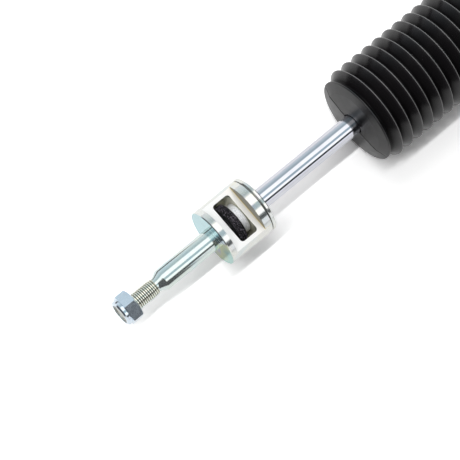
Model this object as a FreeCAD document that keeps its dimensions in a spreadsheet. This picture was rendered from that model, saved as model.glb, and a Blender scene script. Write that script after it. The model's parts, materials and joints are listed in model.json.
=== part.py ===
import FreeCAD, Part
import os
import re
import Sketcher

# Telescopic twin-tube shock absorber with an adjuster wheel in its top housing.
# The axis lies along +X, from the lower eye at the origin to the threaded stud.
# The eye's bore runs along Y, and the adjuster window faces +Z.
# The stored position is the fully extended one. All lengths are in millimetres.

SIZES = {
    # Fits and broken edges
    "slip_gap": 0.05,
    "run_gap": 0.05,
    "free_gap": 0.35,
    "weld_gap": 0.1,
    "edge_break": 0.5,
    # Lower eye
    "eye_outer_r": 17.5,
    "eye_wall": 3.2,
    "eye_width": 28,
    "bush_flange": 2,
    "bush_flange_rise": 1.4,
    "sleeve_outer_r": 8.5,
    "sleeve_bore_r": 6.1,
    "sleeve_length": 36,
    # Base cap and tubes
    "eye_to_cap": 19.5,
    "cap_boss_r": 12.5,
    "cap_boss_length": 7.5,
    "cap_dome": 2.5,
    "cap_lip": 3.5,
    "cap_spigot": 8,
    "cap_floor": 5.5,
    "cap_wall": 5.2,
    "tube_outer_r": 22.5,
    "tube_wall": 1.8,
    "tube_rim": 1,
    "pressure_bore_r": 13.5,
    "pressure_wall": 1.25,
    # Foot valve
    "foot_flange_margin": 2.2,
    "foot_flange": 4,
    "foot_spigot": 7,
    "foot_channel_depth": 1.6,
    "foot_channel_width": 6,
    "foot_bolt_r": 2.5,
    "foot_bolt_head": 3.5,
    "foot_bolt_head_r": 4.3,
    "foot_bolt_tail": 0.8,
    "foot_hub_wall": 1.7,
    "foot_nut_flats": 8,
    "foot_nut_height": 3.5,
    "intake_port_circle": 10,
    "intake_port_r": 1.3,
    "intake_ports": 8,
    "bleed_port_circle": 6.4,
    "bleed_port_r": 1,
    "bleed_ports": 6,
    "intake_plate_r": 12.2,
    "foot_stop_r": 10.5,
    "foot_shim_r": 8.2,
    # Valve plates, shims and springs of both valves
    "plate_thickness": 1.2,
    "plate_lift": 1.2,
    "spring_room": 0.3,
    "spring_leaf": 0.25,
    "spring_inset": 1.2,
    "spring_reach": 3.4,
    "stop_thickness": 1.8,
    "shim_thickness": 0.4,
    "shim_step": 1.1,
    # Rod, piston and rebound stop
    "stroke": 180,
    "bottom_clearance": 4,
    "rod_r": 6.25,
    "tail_r": 4.5,
    "tail_over": 1.5,
    "piston_length": 15,
    "piston_gap": 0.3,
    "piston_ring_width": 5,
    "piston_ring_depth": 2,
    "ring_split": 0.6,
    "piston_port_circle": 8.9,
    "piston_port_r": 1.3,
    "piston_ports": 6,
    "piston_nut_flats": 14,
    "piston_nut_height": 7,
    "washer_thickness": 1.5,
    "washer_r": 7.2,
    "backing_thickness": 2.2,
    "backing_r": 11.5,
    "backing_hub_wall": 1.5,
    "check_plate_r": 12,
    "piston_shim_r": 11,
    "stop_distance": 9,
    "rebound_stop_length": 4,
    "rebound_stop_r": 11,
    "bumper_length": 6,
    "bumper_r": 10.5,
    # Rod guide, seal and gland
    "guide_spigot": 6,
    "bush_wall": 1.5,
    "bush_length": 11,
    "guide_web": 2,
    "seal_depth": 8,
    "seal_wall": 5.2,
    "seal_length": 7.4,
    "seal_lip_depth": 3,
    "seal_lip_wall": 1.4,
    "guide_ring_groove": 2.1,
    "guide_ring_width": 3,
    "gland_length": 7.5,
    "wiper_wall": 2.3,
    "wiper_length": 4.5,
    "wiper_lip": 1.6,
    "spanner_hole_circle": 14.5,
    "spanner_hole_r": 2,
    "spanner_hole_depth": 4,
    "bump_foot": 6,
    "bump_groove": 3,
    "bump_flare": 3,
    "bump_crown": 4,
    "bump_nose": 4,
    "bump_r": 16,
    "bump_waist": 3.2,
    "closed_gap": 25.5,
    # Boot
    "boot_gap": 0.8,
    "boot_wall": 1.3,
    "boot_depth": 5.3,
    "boot_pitch": 7.9,
    "boot_rims": 23,
    "boot_back_run": 2,
    "boot_bead": 0.8,
    "boot_rim_wall": 1.8,
    "first_rim_drop": 2.7,
    "first_rim_gap": 7.45,
    "lip_to_cover": 75.05,
    "lip_forward": 2.1,
    "lip_wall": 2.4,
    "lip_thickness": 1.6,
    "face_bulge": 3.1,
    "face_bulge_r": 17.2,
    "cuff_length": 13,
    "cuff_wall": 2,
    "clip_width": 2.2,
    "clip_depth": 0.8,
    "clip_thickness": 1.5,
    # Adjuster housing, cover plate and wheel
    "cover_thickness": 2.3,
    "gasket_thickness": 0.4,
    "gasket_margin": 2.5,
    "housing_r": 17.85,
    "housing_length": 29.6,
    "rod_spigot_step": 0.9,
    "notch_start": 3.9,
    "notch_end": 24.4,
    "flat_height": 9.2,
    "slot_start": 9.4,
    "slot_end": 21,
    "slot_half_width": 12.95,
    "slot_corner_r": 1.8,
    "wheel_r": 12.1,
    "wheel_width": 6,
    "wheel_gap": 0.6,
    "wheel_edge": 0.6,
    "hub_r": 9.2,
    "hub_length": 4.6,
    "stop_circle": 7.6,
    "stop_pin_r": 1.1,
    "stop_clearance": 0.2,
    "stop_web": 2.68,
    "stop_pin_seat": 5,
    "stop_slot_depth": 1.6,
    "detent_circle": 10.3,
    "detent_ball_r": 1.4,
    "detent_hole_depth": 6,
    "detent_dimple_r": 0.95,
    "detent_dimple_depth": 0.4,
    "detent_count": 9,
    "detent_wire": 0.45,
    # Control rod and metering valve
    "control_r": 2.2,
    "control_grip": 4.5,
    "control_pin_r": 1.4,
    "ring_groove_r": 1.4,
    "ring_groove_width": 1.1,
    "ring_groove_drop": 14,
    "valve_wall": 0.75,
    "valve_top": 16,
    "valve_head": 4,
    "valve_reach": 8,
    "valve_play": 0.3,
    "port_rise": 4.5,
    "port_r": 1.3,
    # Mounting stud and lock nut
    "shank_r": 6.5,
    "shank_length": 36.6,
    "stud_seat": 6.2,
    "stud_step": 0.9,
    "stud_ease": 0.1,
    "taper_length": 4,
    "neck_r": 4.3,
    "neck_length": 3.7,
    "thread_r": 5,
    "thread_exposed": 12.4,
    "stud_end_inset": 0.6,
    "nut_flats": 17,
    "nut_hex_height": 7.5,
    "nut_height": 10,
    "nut_chamfer": 0.9,
    "nut_turn": 31.5,
    "collar_r": 7.9,
    "collar_crimp_r": 7,
    "collar_wall": 1.1,
    "insert_height": 2.4,
    "insert_start": 7,
}

doc = FreeCAD.newDocument("ShockAbsorber")
sheet = doc.addObject("Spreadsheet::Sheet", "Sizes")
for row, (size_name, size_value) in enumerate(SIZES.items(), start=1):
    sheet.set(f"A{row}", size_name)
    sheet.set(f"B{row}", str(size_value))
    sheet.setAlias(f"B{row}", size_name)
doc.recompute()

# Radii that follow from the driving sizes
TUBE_BORE = "(tube_outer_r - tube_wall)"
EYE_BORE = "(eye_outer_r - eye_wall)"
PRESSURE_OUTER = "(pressure_bore_r + pressure_wall)"
CONTROL_BORE = "(control_r + run_gap)"
VALVE_R = "(control_pin_r + 2 * valve_wall)"
VALVE_BORE = f"({VALVE_R} + run_gap)"
ROD_SPIGOT = "(rod_r - rod_spigot_step)"
ROD_RUN = "(rod_r + run_gap)"
ROD_FREE = "(rod_r + free_gap)"
FOOT_HUB = "(foot_bolt_r + foot_hub_wall)"
BACKING_HUB = "(tail_r + backing_hub_wall)"
BUSH_OUTER = "(rod_r + bush_wall)"
SEAL_OUTER = "(rod_r + seal_wall)"
WIPER_OUTER = "(rod_r + wiper_wall)"
VALLEY_INNER = "(tube_outer_r + boot_gap)"
VALLEY_OUTER = f"({VALLEY_INNER} + boot_wall)"
RIM_OUTER = f"({VALLEY_OUTER} + boot_depth)"
FIRST_RIM = f"({RIM_OUTER} - first_rim_drop)"
CUFF_OUTER = "(tube_outer_r + cuff_wall)"
STUD_SPIGOT = "(shank_r - stud_step)"
STOP_REACH = "(stop_pin_r + stop_clearance)"
STOP_ACROSS = f"sqrt(stop_circle ^ 2 - {STOP_REACH} ^ 2)"

# Each pack of shims is a stack of three
SHIM_COUNT = 3

# Lengths that follow from the driving sizes
VALVE_STACK = "(plate_thickness + plate_lift + spring_room)"
SHIM_STACK = f"({SHIM_COUNT} * shim_thickness)"
GUIDE_LENGTH = "(bush_length + guide_web + seal_depth)"
ROD_TAIL = (
    f"(backing_thickness + {VALVE_STACK} + piston_length + {SHIM_STACK}"
    " + washer_thickness + piston_nut_height + tail_over)"
)

# Stations along the axis, measured from the centre of the eye
TUBE_START = "(eye_to_cap + cap_lip)"
FOOT = f"({TUBE_START} + cap_spigot)"
FOOT_SEAT = f"({FOOT} + foot_flange)"
INTAKE_SEAT = f"({FOOT_SEAT} + foot_spigot)"
FOOT_STOP_TOP = f"({INTAKE_SEAT} + {VALVE_STACK} + stop_thickness)"
FOOT_TOP = f"({FOOT_STOP_TOP} + foot_bolt_head)"
ROD_SHOULDER = f"({FOOT_TOP} + bottom_clearance + stroke + {ROD_TAIL})"
PISTON_TOP = f"({ROD_SHOULDER} - backing_thickness - {VALVE_STACK})"
PISTON_BASE = f"({PISTON_TOP} - piston_length)"
REBOUND_STOP = f"({ROD_SHOULDER} + stop_distance)"
BUMPER = f"({REBOUND_STOP} + rebound_stop_length)"
GUIDE_FACE = f"({BUMPER} + bumper_length)"
GLAND_FACE = f"({GUIDE_FACE} + {GUIDE_LENGTH})"
GLAND_TOP = f"({GLAND_FACE} + gland_length)"
TUBE_END = f"({GLAND_TOP} + tube_rim)"
COVER_FACE = f"({TUBE_END} + stroke + closed_gap)"
GASKET_FACE = f"({COVER_FACE} + cover_thickness)"
HOUSING_FACE = f"({GASKET_FACE} + gasket_thickness)"
STUD_FACE = f"({HOUSING_FACE} + housing_length)"
WHEEL_END = f"({STUD_FACE} - slot_start - wheel_gap)"
WHEEL_FACE = f"({WHEEL_END} - wheel_width)"
HUB_FACE = f"({WHEEL_FACE} - hub_length)"
NUT_FACE = f"({STUD_FACE} + shank_length + taper_length + neck_length + thread_exposed)"
BOOT_LIP = f"({COVER_FACE} - lip_to_cover)"
FOLDS_LENGTH = "(round(boot_rims) * boot_pitch)"
LAST_FOLD = f"({FOLDS_LENGTH} - boot_pitch)"
FIRST_RIM_PLACE = f"({LAST_FOLD} + boot_back_run + first_rim_gap)"
BOOT_START = f"({BOOT_LIP} - lip_forward - {FIRST_RIM_PLACE})"


def formula(text):
    """A sheet formula: each size's name gets the name of its sheet in front."""
    return re.sub(r"[a-z_]+", lambda word: f"Sizes.{word[0]}" if word[0] in SIZES else word[0], text)


def value(text):
    """The number that a formula gives with the sheet as it stands."""
    return float(sheet.evalExpression(formula(text)))


def origin_feature(body, role):
    """The plane or axis of a body's own origin."""
    return next(feature for feature in body.Origin.OriginFeatures if feature.Role == role)


def new_body(label, station, across=False):
    """An empty body whose own X runs along the shock absorber, or across it through the eye."""
    body = doc.addObject("PartDesign::Body", label)
    body.Label = label
    if across:
        body.Placement = FreeCAD.Placement(
            FreeCAD.Vector(0, 0, 0), FreeCAD.Rotation(FreeCAD.Vector(0, 0, 1), 90)
        )
    body.setExpression("Placement.Base.x", formula(station))
    return body


def new_sketch(body, name, role="XY_Plane", offset="0"):
    """A sketch on one of the body's origin planes, moved along the plane's normal by the offset."""
    sketch = body.newObject("Sketcher::SketchObject", f"{body.Label}_{name}")
    sketch.AttachmentSupport = [(origin_feature(body, role), "")]
    sketch.MapMode = "FlatFace"
    sketch.setExpression("AttachmentOffset.Base.z", formula(offset))
    return sketch


def drive(sketch, constraint, text):
    """Add a dimension to a sketch and bind it to a formula of the sheet."""
    index = sketch.addConstraint(constraint)
    sketch.setExpression(f"Constraints[{index}]", formula(text))


def hold(sketch, edge, end, along, up):
    """Hold one point of a sketch at two driven distances from its origin."""
    drive(sketch, Sketcher.Constraint("DistanceX", -1, 1, edge, end, value(along)), along)
    drive(sketch, Sketcher.Constraint("DistanceY", -1, 1, edge, end, value(up)), up)


def draw_outline(sketch, corners):
    """A closed outline of straight edges through the given corners."""
    first = sketch.GeometryCount
    count = len(corners)
    points = [FreeCAD.Vector(value(along), value(up), 0) for along, up in corners]
    for number, point in enumerate(points):
        sketch.addGeometry(Part.LineSegment(point, points[(number + 1) % count]), False)
    for number in range(count):
        following = first + (number + 1) % count
        sketch.addConstraint(Sketcher.Constraint("Coincident", first + number, 2, following, 1))
    for number, (along, up) in enumerate(corners):
        hold(sketch, first + number, 1, along, up)


def draw_circle(sketch, along, up, radius):
    """A circle with a driven centre and radius."""
    centre = FreeCAD.Vector(value(along), value(up), 0)
    circle = Part.Circle(centre, FreeCAD.Vector(0, 0, 1), value(radius))
    edge = sketch.addGeometry(circle, False)
    drive(sketch, Sketcher.Constraint("Radius", edge, value(radius)), radius)
    hold(sketch, edge, 3, along, up)


def revolve(body, name, corners):
    """Add the solid that an outline sweeps about the body's X axis."""
    sketch = new_sketch(body, f"{name}_outline")
    draw_outline(sketch, corners)
    feature = body.newObject("PartDesign::Revolution", f"{body.Label}_{name}")
    feature.Profile = sketch
    feature.ReferenceAxis = (sketch, ["H_Axis"])
    feature.Angle = 360
    return feature


def turned(label, station, corners, across=False):
    """A lathe-turned piece in a body of its own."""
    body = new_body(label, station, across)
    revolve(body, "turning", corners)
    return body


def ring(start, end, inner, outer, edge="edge_break"):
    """Outline of a ring whose two outer edges are broken."""
    return [
        (start, inner),
        (start, f"{outer} - {edge}"),
        (f"{start} + {edge}", outer),
        (f"{end} - {edge}", outer),
        (end, f"{outer} - {edge}"),
        (end, inner),
    ]


def plain_ring(start, end, inner, outer):
    """Outline of a ring with sharp edges."""
    return [(start, inner), (start, outer), (end, outer), (end, inner)]


def shim_outline(start, inner, outer, direction):
    """Outline of a stack of shims, each a step smaller than the one before it."""
    corners = [(start, inner)]
    for number in range(SHIM_COUNT):
        radius = f"{outer} - {number} * shim_step"
        corners.append((f"{start} {direction} {number} * shim_thickness", radius))
        corners.append((f"{start} {direction} {number + 1} * shim_thickness", radius))
    corners.append((f"{start} {direction} {SHIM_STACK}", inner))
    return corners


def spring_outline(seat, outer):
    """Outline of a dished spring washer that fills the space over a valve plate."""
    low = f"{seat} + plate_thickness"
    high = f"{seat} + {VALVE_STACK}"
    wide = f"{outer} - spring_inset"
    narrow = f"{wide} - spring_reach"
    return [
        (low, wide),
        (f"{low} + spring_leaf", wide),
        (high, narrow),
        (f"{high} - spring_leaf", narrow),
    ]


def add_round_ring(body, middle_r, section_r):
    """A ring of round section about the body's X axis."""
    sketch = new_sketch(body, "section_outline")
    draw_circle(sketch, "0", middle_r, section_r)
    feature = body.newObject("PartDesign::Revolution", f"{body.Label}_round")
    feature.Profile = sketch
    feature.ReferenceAxis = (sketch, ["H_Axis"])
    feature.Angle = 360


def finish_cut(body, feature, volume_before):
    """Recompute a cut and refuse one that took nothing away."""
    doc.recompute()
    if not body.Shape.Volume < volume_before:
        raise RuntimeError(f"{feature.Label} cuts nothing")
    return feature


def pocket(body, name, sketch, depth=None, forwards=False, both_ways=False):
    """Cut a sketch out of a body, right through unless a depth is given."""
    doc.recompute()
    volume_before = body.Shape.Volume
    feature = body.newObject("PartDesign::Pocket", f"{body.Label}_{name}")
    feature.Profile = sketch
    feature.SideType = "Symmetric" if both_ways else "One side"
    feature.Reversed = forwards
    if depth is None:
        feature.Type = "ThroughAll"
    else:
        feature.Type = "Length"
        feature.setExpression("Length", formula(depth))
    return finish_cut(body, feature, volume_before)


def repeat_around(body, feature, count):
    """Repeat a cut round the body's X axis."""
    pattern = body.newObject("PartDesign::PolarPattern", f"{feature.Name}_pattern")
    pattern.Originals = [feature]
    pattern.Axis = (origin_feature(body, "X_Axis"), [""])
    pattern.Angle = 360
    pattern.setExpression("Occurrences", formula(count))
    body.Tip = pattern
    doc.recompute()


def axial_holes(body, name, circle, radius, count):
    """Through holes along the axis, evenly spaced on a circle."""
    sketch = new_sketch(body, f"{name}_outline", "YZ_Plane")
    draw_circle(sketch, "0", circle, radius)
    hole = pocket(body, name, sketch, both_ways=True)
    repeat_around(body, hole, count)


def cut_hexagon(body, flats, blank_r, turn="0"):
    """Mill a turned blank to a hexagon; blank_r lies outside every corner."""
    sketch = new_sketch(body, "hexagon_outline", "YZ_Plane")
    corner = f"{flats} / sqrt(3)"
    corners = []
    for number in range(6):
        angle = f"(({60 * number} + {turn}) * 1 deg)"
        corners.append((f"{corner} * cos({angle})", f"{corner} * sin({angle})"))
    draw_outline(sketch, corners)
    draw_circle(sketch, "0", "0", blank_r)
    pocket(body, "hexagon", sketch, both_ways=True)


def hexagon_nut(label, station, height, flats, bore):
    """A plain nut with chamfered corners."""
    corner = f"({flats} / sqrt(3))"
    body = turned(label, station, ring("0", height, bore, corner))
    cut_hexagon(body, flats, f"{corner} + edge_break")
    return body


def build_eye():
    """Lower eye: welded ring, rubber bush and the steel sleeve that takes the bolt."""
    half = "eye_width / 2"
    turned("eye_ring", "0", ring(f"-{half}", half, EYE_BORE, "eye_outer_r"), across=True)
    inner = "sleeve_outer_r + run_gap"
    middle = f"{EYE_BORE} - slip_gap"
    flange = f"{EYE_BORE} + bush_flange_rise"
    bush = [
        (f"-{half} - bush_flange", inner),
        (f"-{half} - bush_flange", f"{flange} - bush_flange / 2"),
        (f"-{half} - bush_flange / 2", flange),
        (f"-{half}", flange),
        (f"-{half}", middle),
        (half, middle),
        (half, flange),
        (f"{half} + bush_flange / 2", flange),
        (f"{half} + bush_flange", f"{flange} - bush_flange / 2"),
        (f"{half} + bush_flange", inner),
    ]
    turned("eye_bush", "0", bush, across=True)
    half = "sleeve_length / 2"
    turned("eye_sleeve", "0", ring(f"-{half}", half, "sleeve_bore_r", "sleeve_outer_r"), across=True)


def build_base_cap():
    """Domed cap that closes the outer tube, with a boss saddled on the eye ring."""
    spigot = f"{TUBE_BORE} - slip_gap"
    end = "cap_lip + cap_spigot"
    outline = [
        ("-cap_boss_length", "0"),
        ("-cap_boss_length", "cap_boss_r"),
        ("-cap_dome", "cap_boss_r"),
        ("0", "tube_outer_r - edge_break"),
        ("edge_break", "tube_outer_r"),
        ("cap_lip", "tube_outer_r"),
        ("cap_lip", spigot),
        (end, spigot),
        (end, f"{spigot} - cap_wall"),
        ("cap_floor", f"{spigot} - cap_wall"),
        ("cap_floor", "0"),
    ]
    body = turned("base_cap", "eye_to_cap", outline)
    sketch = new_sketch(body, "saddle_outline", "XZ_Plane")
    draw_circle(sketch, "-eye_to_cap", "0", "eye_outer_r + weld_gap")
    pocket(body, "saddle", sketch, both_ways=True)


def build_tubes():
    """Outer reserve tube and inner pressure tube."""
    length = f"{TUBE_END} - {TUBE_START}"
    turned("reserve_tube", TUBE_START, plain_ring("0", length, TUBE_BORE, "tube_outer_r"))
    length = f"{GUIDE_FACE} + guide_spigot - {FOOT_SEAT}"
    turned("pressure_tube", FOOT_SEAT, plain_ring("0", length, "pressure_bore_r", PRESSURE_OUTER))


def build_foot_valve():
    """Valve between the two tubes, clamped by one bolt."""
    hole = "foot_bolt_r + slip_gap"
    spigot = "pressure_bore_r - slip_gap"
    flange = f"{TUBE_BORE} - foot_flange_margin"
    end = "foot_flange + foot_spigot"
    outline = [
        ("0", hole),
        ("0", flange),
        ("foot_flange", flange),
        ("foot_flange", spigot),
        (end, spigot),
        (end, hole),
    ]
    body = turned("foot_valve_body", FOOT, outline)
    axial_holes(body, "intake_ports", "intake_port_circle", "intake_port_r", "intake_ports")
    axial_holes(body, "bleed_ports", "bleed_port_circle", "bleed_port_r", "bleed_ports")
    half = "foot_channel_width / 2"
    for role in ("XY_Plane", "XZ_Plane"):
        sketch = new_sketch(body, f"channel_{role}_outline", role)
        channel = plain_ring("-foot_channel_depth", "foot_channel_depth", f"-{half}", half)
        draw_outline(sketch, channel)
        pocket(body, f"channel_{role}", sketch, both_ways=True)

    guide = f"{FOOT_HUB} + run_gap"
    plate = turned("intake_plate", INTAKE_SEAT, plain_ring("0", "plate_thickness", guide, "intake_plate_r"))
    axial_holes(plate, "bleed_ports", "bleed_port_circle", "bleed_port_r + slip_gap", "bleed_ports")

    stop = [
        ("0", hole),
        ("0", FOOT_HUB),
        (VALVE_STACK, FOOT_HUB),
        (VALVE_STACK, "foot_stop_r"),
        (f"{VALVE_STACK} + stop_thickness", "foot_stop_r"),
        (f"{VALVE_STACK} + stop_thickness", hole),
    ]
    turned("foot_stop", INTAKE_SEAT, stop)
    turned("intake_spring", INTAKE_SEAT, spring_outline("0", "foot_stop_r"))

    head = f"{FOOT_STOP_TOP} - {FOOT}"
    tail = f"-{SHIM_STACK} - foot_nut_height - foot_bolt_tail"
    bolt = [
        (tail, "0"),
        (tail, "foot_bolt_r"),
        (head, "foot_bolt_r"),
        (head, "foot_bolt_head_r"),
        (f"{head} + foot_bolt_head - edge_break", "foot_bolt_head_r"),
        (f"{head} + foot_bolt_head", "foot_bolt_head_r - edge_break"),
        (f"{head} + foot_bolt_head", "0"),
    ]
    turned("foot_bolt", FOOT, bolt)
    turned("compression_shims", FOOT, shim_outline("0", hole, "foot_shim_r", "-"))
    nut_place = f"{FOOT} - {SHIM_STACK} - foot_nut_height"
    hexagon_nut("foot_nut", nut_place, "foot_nut_height", "foot_nut_flats", hole)


def build_rod():
    """Hollow rod, with bypass ports above the piston and a spigot in the housing."""
    length = f"({COVER_FACE} - {ROD_SHOULDER})"
    top = f"{length} + cover_thickness + gasket_thickness + housing_length - slot_end"
    outline = [
        (f"-{ROD_TAIL}", VALVE_BORE),
        (f"-{ROD_TAIL}", "tail_r - edge_break"),
        (f"-{ROD_TAIL} + edge_break", "tail_r"),
        ("0", "tail_r"),
        ("0", "rod_r"),
        (length, "rod_r"),
        (length, ROD_SPIGOT),
        (top, ROD_SPIGOT),
        (top, CONTROL_BORE),
        ("valve_top", CONTROL_BORE),
        ("valve_top", VALVE_BORE),
    ]
    body = turned("piston_rod", ROD_SHOULDER, outline)
    sketch = new_sketch(body, "port_outline")
    draw_circle(sketch, "port_rise", "0", "port_r")
    pocket(body, "port", sketch, both_ways=True)


def build_piston():
    """Piston with its ring, valve plates, shims and nut, and the rebound stop above it."""
    hole = "tail_r + slip_gap"
    outer = "(pressure_bore_r - piston_gap)"
    groove = f"{outer} - piston_ring_depth"
    low = "(piston_length / 2 - piston_ring_width / 2)"
    high = "(piston_length / 2 + piston_ring_width / 2)"
    outline = [
        ("0", hole),
        ("0", f"{outer} - edge_break"),
        ("edge_break", outer),
        (low, outer),
        (low, groove),
        (high, groove),
        (high, outer),
        ("piston_length - edge_break", outer),
        ("piston_length", f"{outer} - edge_break"),
        ("piston_length", hole),
    ]
    body = turned("piston", PISTON_BASE, outline)
    axial_holes(body, "ports", "piston_port_circle", "piston_port_r", "piston_ports")

    width = "piston_ring_width - 2 * run_gap"
    inner = f"{groove} + run_gap"
    sealing = "pressure_bore_r - run_gap"
    place = f"{PISTON_BASE} + {low} + run_gap"
    body = turned("piston_ring", place, plain_ring("0", width, inner, sealing))
    sketch = new_sketch(body, "split_outline")
    half = "ring_split / 2"
    draw_outline(sketch, plain_ring("0", width, f"-{half}", half))
    pocket(body, "split", sketch, forwards=True)

    below = f"{PISTON_BASE} - {SHIM_STACK} - washer_thickness"
    turned("rebound_shims", PISTON_BASE, shim_outline("0", hole, "piston_shim_r", "-"))
    turned("piston_washer", below, ring("0", "washer_thickness", hole, "washer_r"))
    nut_place = f"{below} - piston_nut_height"
    hexagon_nut("piston_nut", nut_place, "piston_nut_height", "piston_nut_flats", hole)

    guide = f"{BACKING_HUB} + run_gap"
    turned("check_plate", PISTON_TOP, plain_ring("0", "plate_thickness", guide, "check_plate_r"))
    turned("check_spring", PISTON_TOP, spring_outline("0", "backing_r"))
    backing = [
        ("0", hole),
        ("0", BACKING_HUB),
        (VALVE_STACK, BACKING_HUB),
        (VALVE_STACK, "backing_r"),
        (f"{VALVE_STACK} + backing_thickness", "backing_r"),
        (f"{VALVE_STACK} + backing_thickness", hole),
    ]
    turned("backing_washer", PISTON_TOP, backing)

    seat = "rod_r + slip_gap"
    turned("rebound_stop", REBOUND_STOP, ring("0", "rebound_stop_length", seat, "rebound_stop_r"))
    turned("rebound_bumper", BUMPER, ring("0", "bumper_length", seat, "bumper_r", "2 * edge_break"))


def build_head():
    """Rod guide with its bush, seal and ring, and the gland nut with its wiper."""
    spigot = "pressure_bore_r - slip_gap"
    outer = f"({TUBE_BORE} - slip_gap)"
    web = "bush_length + guide_web"
    middle = f"(guide_spigot + {GUIDE_LENGTH}) / 2"
    low = f"{middle} - guide_ring_width / 2"
    high = f"{middle} + guide_ring_width / 2"
    groove = f"({outer} - guide_ring_groove)"
    outline = [
        ("0", BUSH_OUTER),
        ("0", spigot),
        ("guide_spigot", spigot),
        ("guide_spigot", outer),
        (low, outer),
        (low, groove),
        (high, groove),
        (high, outer),
        (GUIDE_LENGTH, outer),
        (GUIDE_LENGTH, SEAL_OUTER),
        (web, SEAL_OUTER),
        (web, ROD_FREE),
        ("bush_length", ROD_FREE),
        ("bush_length", BUSH_OUTER),
    ]
    turned("rod_guide", GUIDE_FACE, outline)
    bush_outer = f"{BUSH_OUTER} - slip_gap"
    turned("guide_bush", GUIDE_FACE, plain_ring("0", "bush_length", ROD_RUN, bush_outer))

    seal_outer = f"{SEAL_OUTER} - slip_gap"
    lip = f"{ROD_RUN} + seal_lip_wall"
    seal = [
        ("0", ROD_RUN),
        ("0", lip),
        ("seal_lip_depth", lip),
        ("seal_lip_depth", f"{seal_outer} - seal_lip_wall"),
        ("0", f"{seal_outer} - seal_lip_wall"),
        ("0", seal_outer),
        ("seal_length", seal_outer),
        ("seal_length", ROD_RUN),
    ]
    turned("rod_seal", f"{GUIDE_FACE} + {web}", seal)

    section = "(guide_ring_groove / 2)"
    body = new_body("guide_o_ring", f"{GUIDE_FACE} + {middle}")
    add_round_ring(body, f"{groove} + {section}", f"{section} - slip_gap / 2")

    gland = [
        ("0", ROD_FREE),
        ("0", f"{TUBE_BORE} - slip_gap"),
        ("gland_length - edge_break", f"{TUBE_BORE} - slip_gap"),
        ("gland_length", f"{TUBE_BORE} - slip_gap - edge_break"),
        ("gland_length", WIPER_OUTER),
        ("gland_length - wiper_length", WIPER_OUTER),
        ("gland_length - wiper_length", ROD_FREE),
    ]
    body = turned("gland_nut", GLAND_FACE, gland)
    sketch = new_sketch(body, "spanner_outline", "YZ_Plane", "gland_length")
    draw_circle(sketch, "spanner_hole_circle", "0", "spanner_hole_r")
    hole = pocket(body, "spanner_hole", sketch, "spanner_hole_depth")
    repeat_around(body, hole, "2")

    wiper = [
        ("0", ROD_FREE),
        ("0", f"{WIPER_OUTER} - slip_gap"),
        ("wiper_length", f"{WIPER_OUTER} - slip_gap"),
        ("wiper_length", f"{ROD_RUN} + wiper_lip / 2"),
        ("wiper_length", ROD_RUN),
        ("wiper_length - wiper_lip", ROD_RUN),
        ("wiper_length - wiper_lip", ROD_FREE),
    ]
    turned("rod_wiper", f"{GLAND_TOP} - wiper_length", wiper)

    waist = "bump_foot + bump_groove"
    crown = f"{waist} + bump_flare"
    shoulder = f"{crown} + bump_crown"
    end = f"{shoulder} + bump_nose"
    bump = [
        ("0", ROD_FREE),
        ("0", "bump_r"),
        ("bump_foot", "bump_r"),
        (waist, "bump_r - bump_waist"),
        (crown, "bump_r - bump_waist / 2"),
        (shoulder, "bump_r - bump_waist / 2"),
        (end, "bump_r - 2 * bump_waist"),
        (end, ROD_FREE),
    ]
    turned("bump_stop", GLAND_TOP, bump)


def build_boot():
    """Rubber bellows: a steep-backed fold repeated along the rod, a domed front and a cuff."""
    body = new_body("boot", BOOT_START)
    fold = [
        ("0", VALLEY_INNER),
        ("0", VALLEY_OUTER),
        ("boot_back_run - boot_bead / 2", RIM_OUTER),
        ("boot_back_run + boot_bead / 2", RIM_OUTER),
        ("boot_pitch", VALLEY_OUTER),
        ("boot_pitch", VALLEY_INNER),
        ("boot_back_run + boot_bead / 2", f"{RIM_OUTER} - boot_rim_wall"),
    ]
    first = revolve(body, "fold", fold)
    pattern = body.newObject("PartDesign::LinearPattern", "boot_folds")
    pattern.Originals = [first]
    pattern.Direction = (origin_feature(body, "X_Axis"), [""])
    pattern.Mode = "Spacing"
    pattern.setExpression("Offset", formula("boot_pitch"))
    pattern.setExpression("Occurrences", formula("round(boot_rims)"))
    body.Tip = pattern
    doc.recompute()

    rim = FIRST_RIM_PLACE
    lip = f"{rim} + lip_forward"
    front = [
        (FOLDS_LENGTH, VALLEY_INNER),
        (FOLDS_LENGTH, VALLEY_OUTER),
        (f"{rim} - boot_bead / 2", FIRST_RIM),
        (f"{rim} + boot_bead / 2", FIRST_RIM),
        (f"{rim} + face_bulge", "face_bulge_r"),
        (lip, f"{ROD_FREE} + lip_wall"),
        (lip, ROD_FREE),
        (f"{lip} - lip_thickness", ROD_FREE),
        (f"{rim} + face_bulge - boot_wall", "face_bulge_r"),
        (rim, f"{FIRST_RIM} - boot_rim_wall"),
    ]
    revolve(body, "front", front)

    outer = CUFF_OUTER
    low = "-cuff_length / 2 - clip_width / 2"
    high = "-cuff_length / 2 + clip_width / 2"
    cuff = [
        ("-cuff_length", "tube_outer_r + weld_gap"),
        ("-cuff_length", outer),
        (low, outer),
        (low, f"{outer} - clip_depth"),
        (high, f"{outer} - clip_depth"),
        (high, outer),
        ("-boot_wall", outer),
        ("0", VALLEY_OUTER),
        ("0", VALLEY_INNER),
        ("-boot_wall", "tube_outer_r + weld_gap"),
    ]
    revolve(body, "cuff", cuff)

    inner = f"{outer} - clip_depth + slip_gap"
    width = "clip_width - 2 * slip_gap"
    place = f"{BOOT_START} + {low} + slip_gap"
    clip = ring("0", width, inner, f"{inner} + clip_thickness", "edge_break / 2")
    turned("boot_clip", place, clip)


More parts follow.
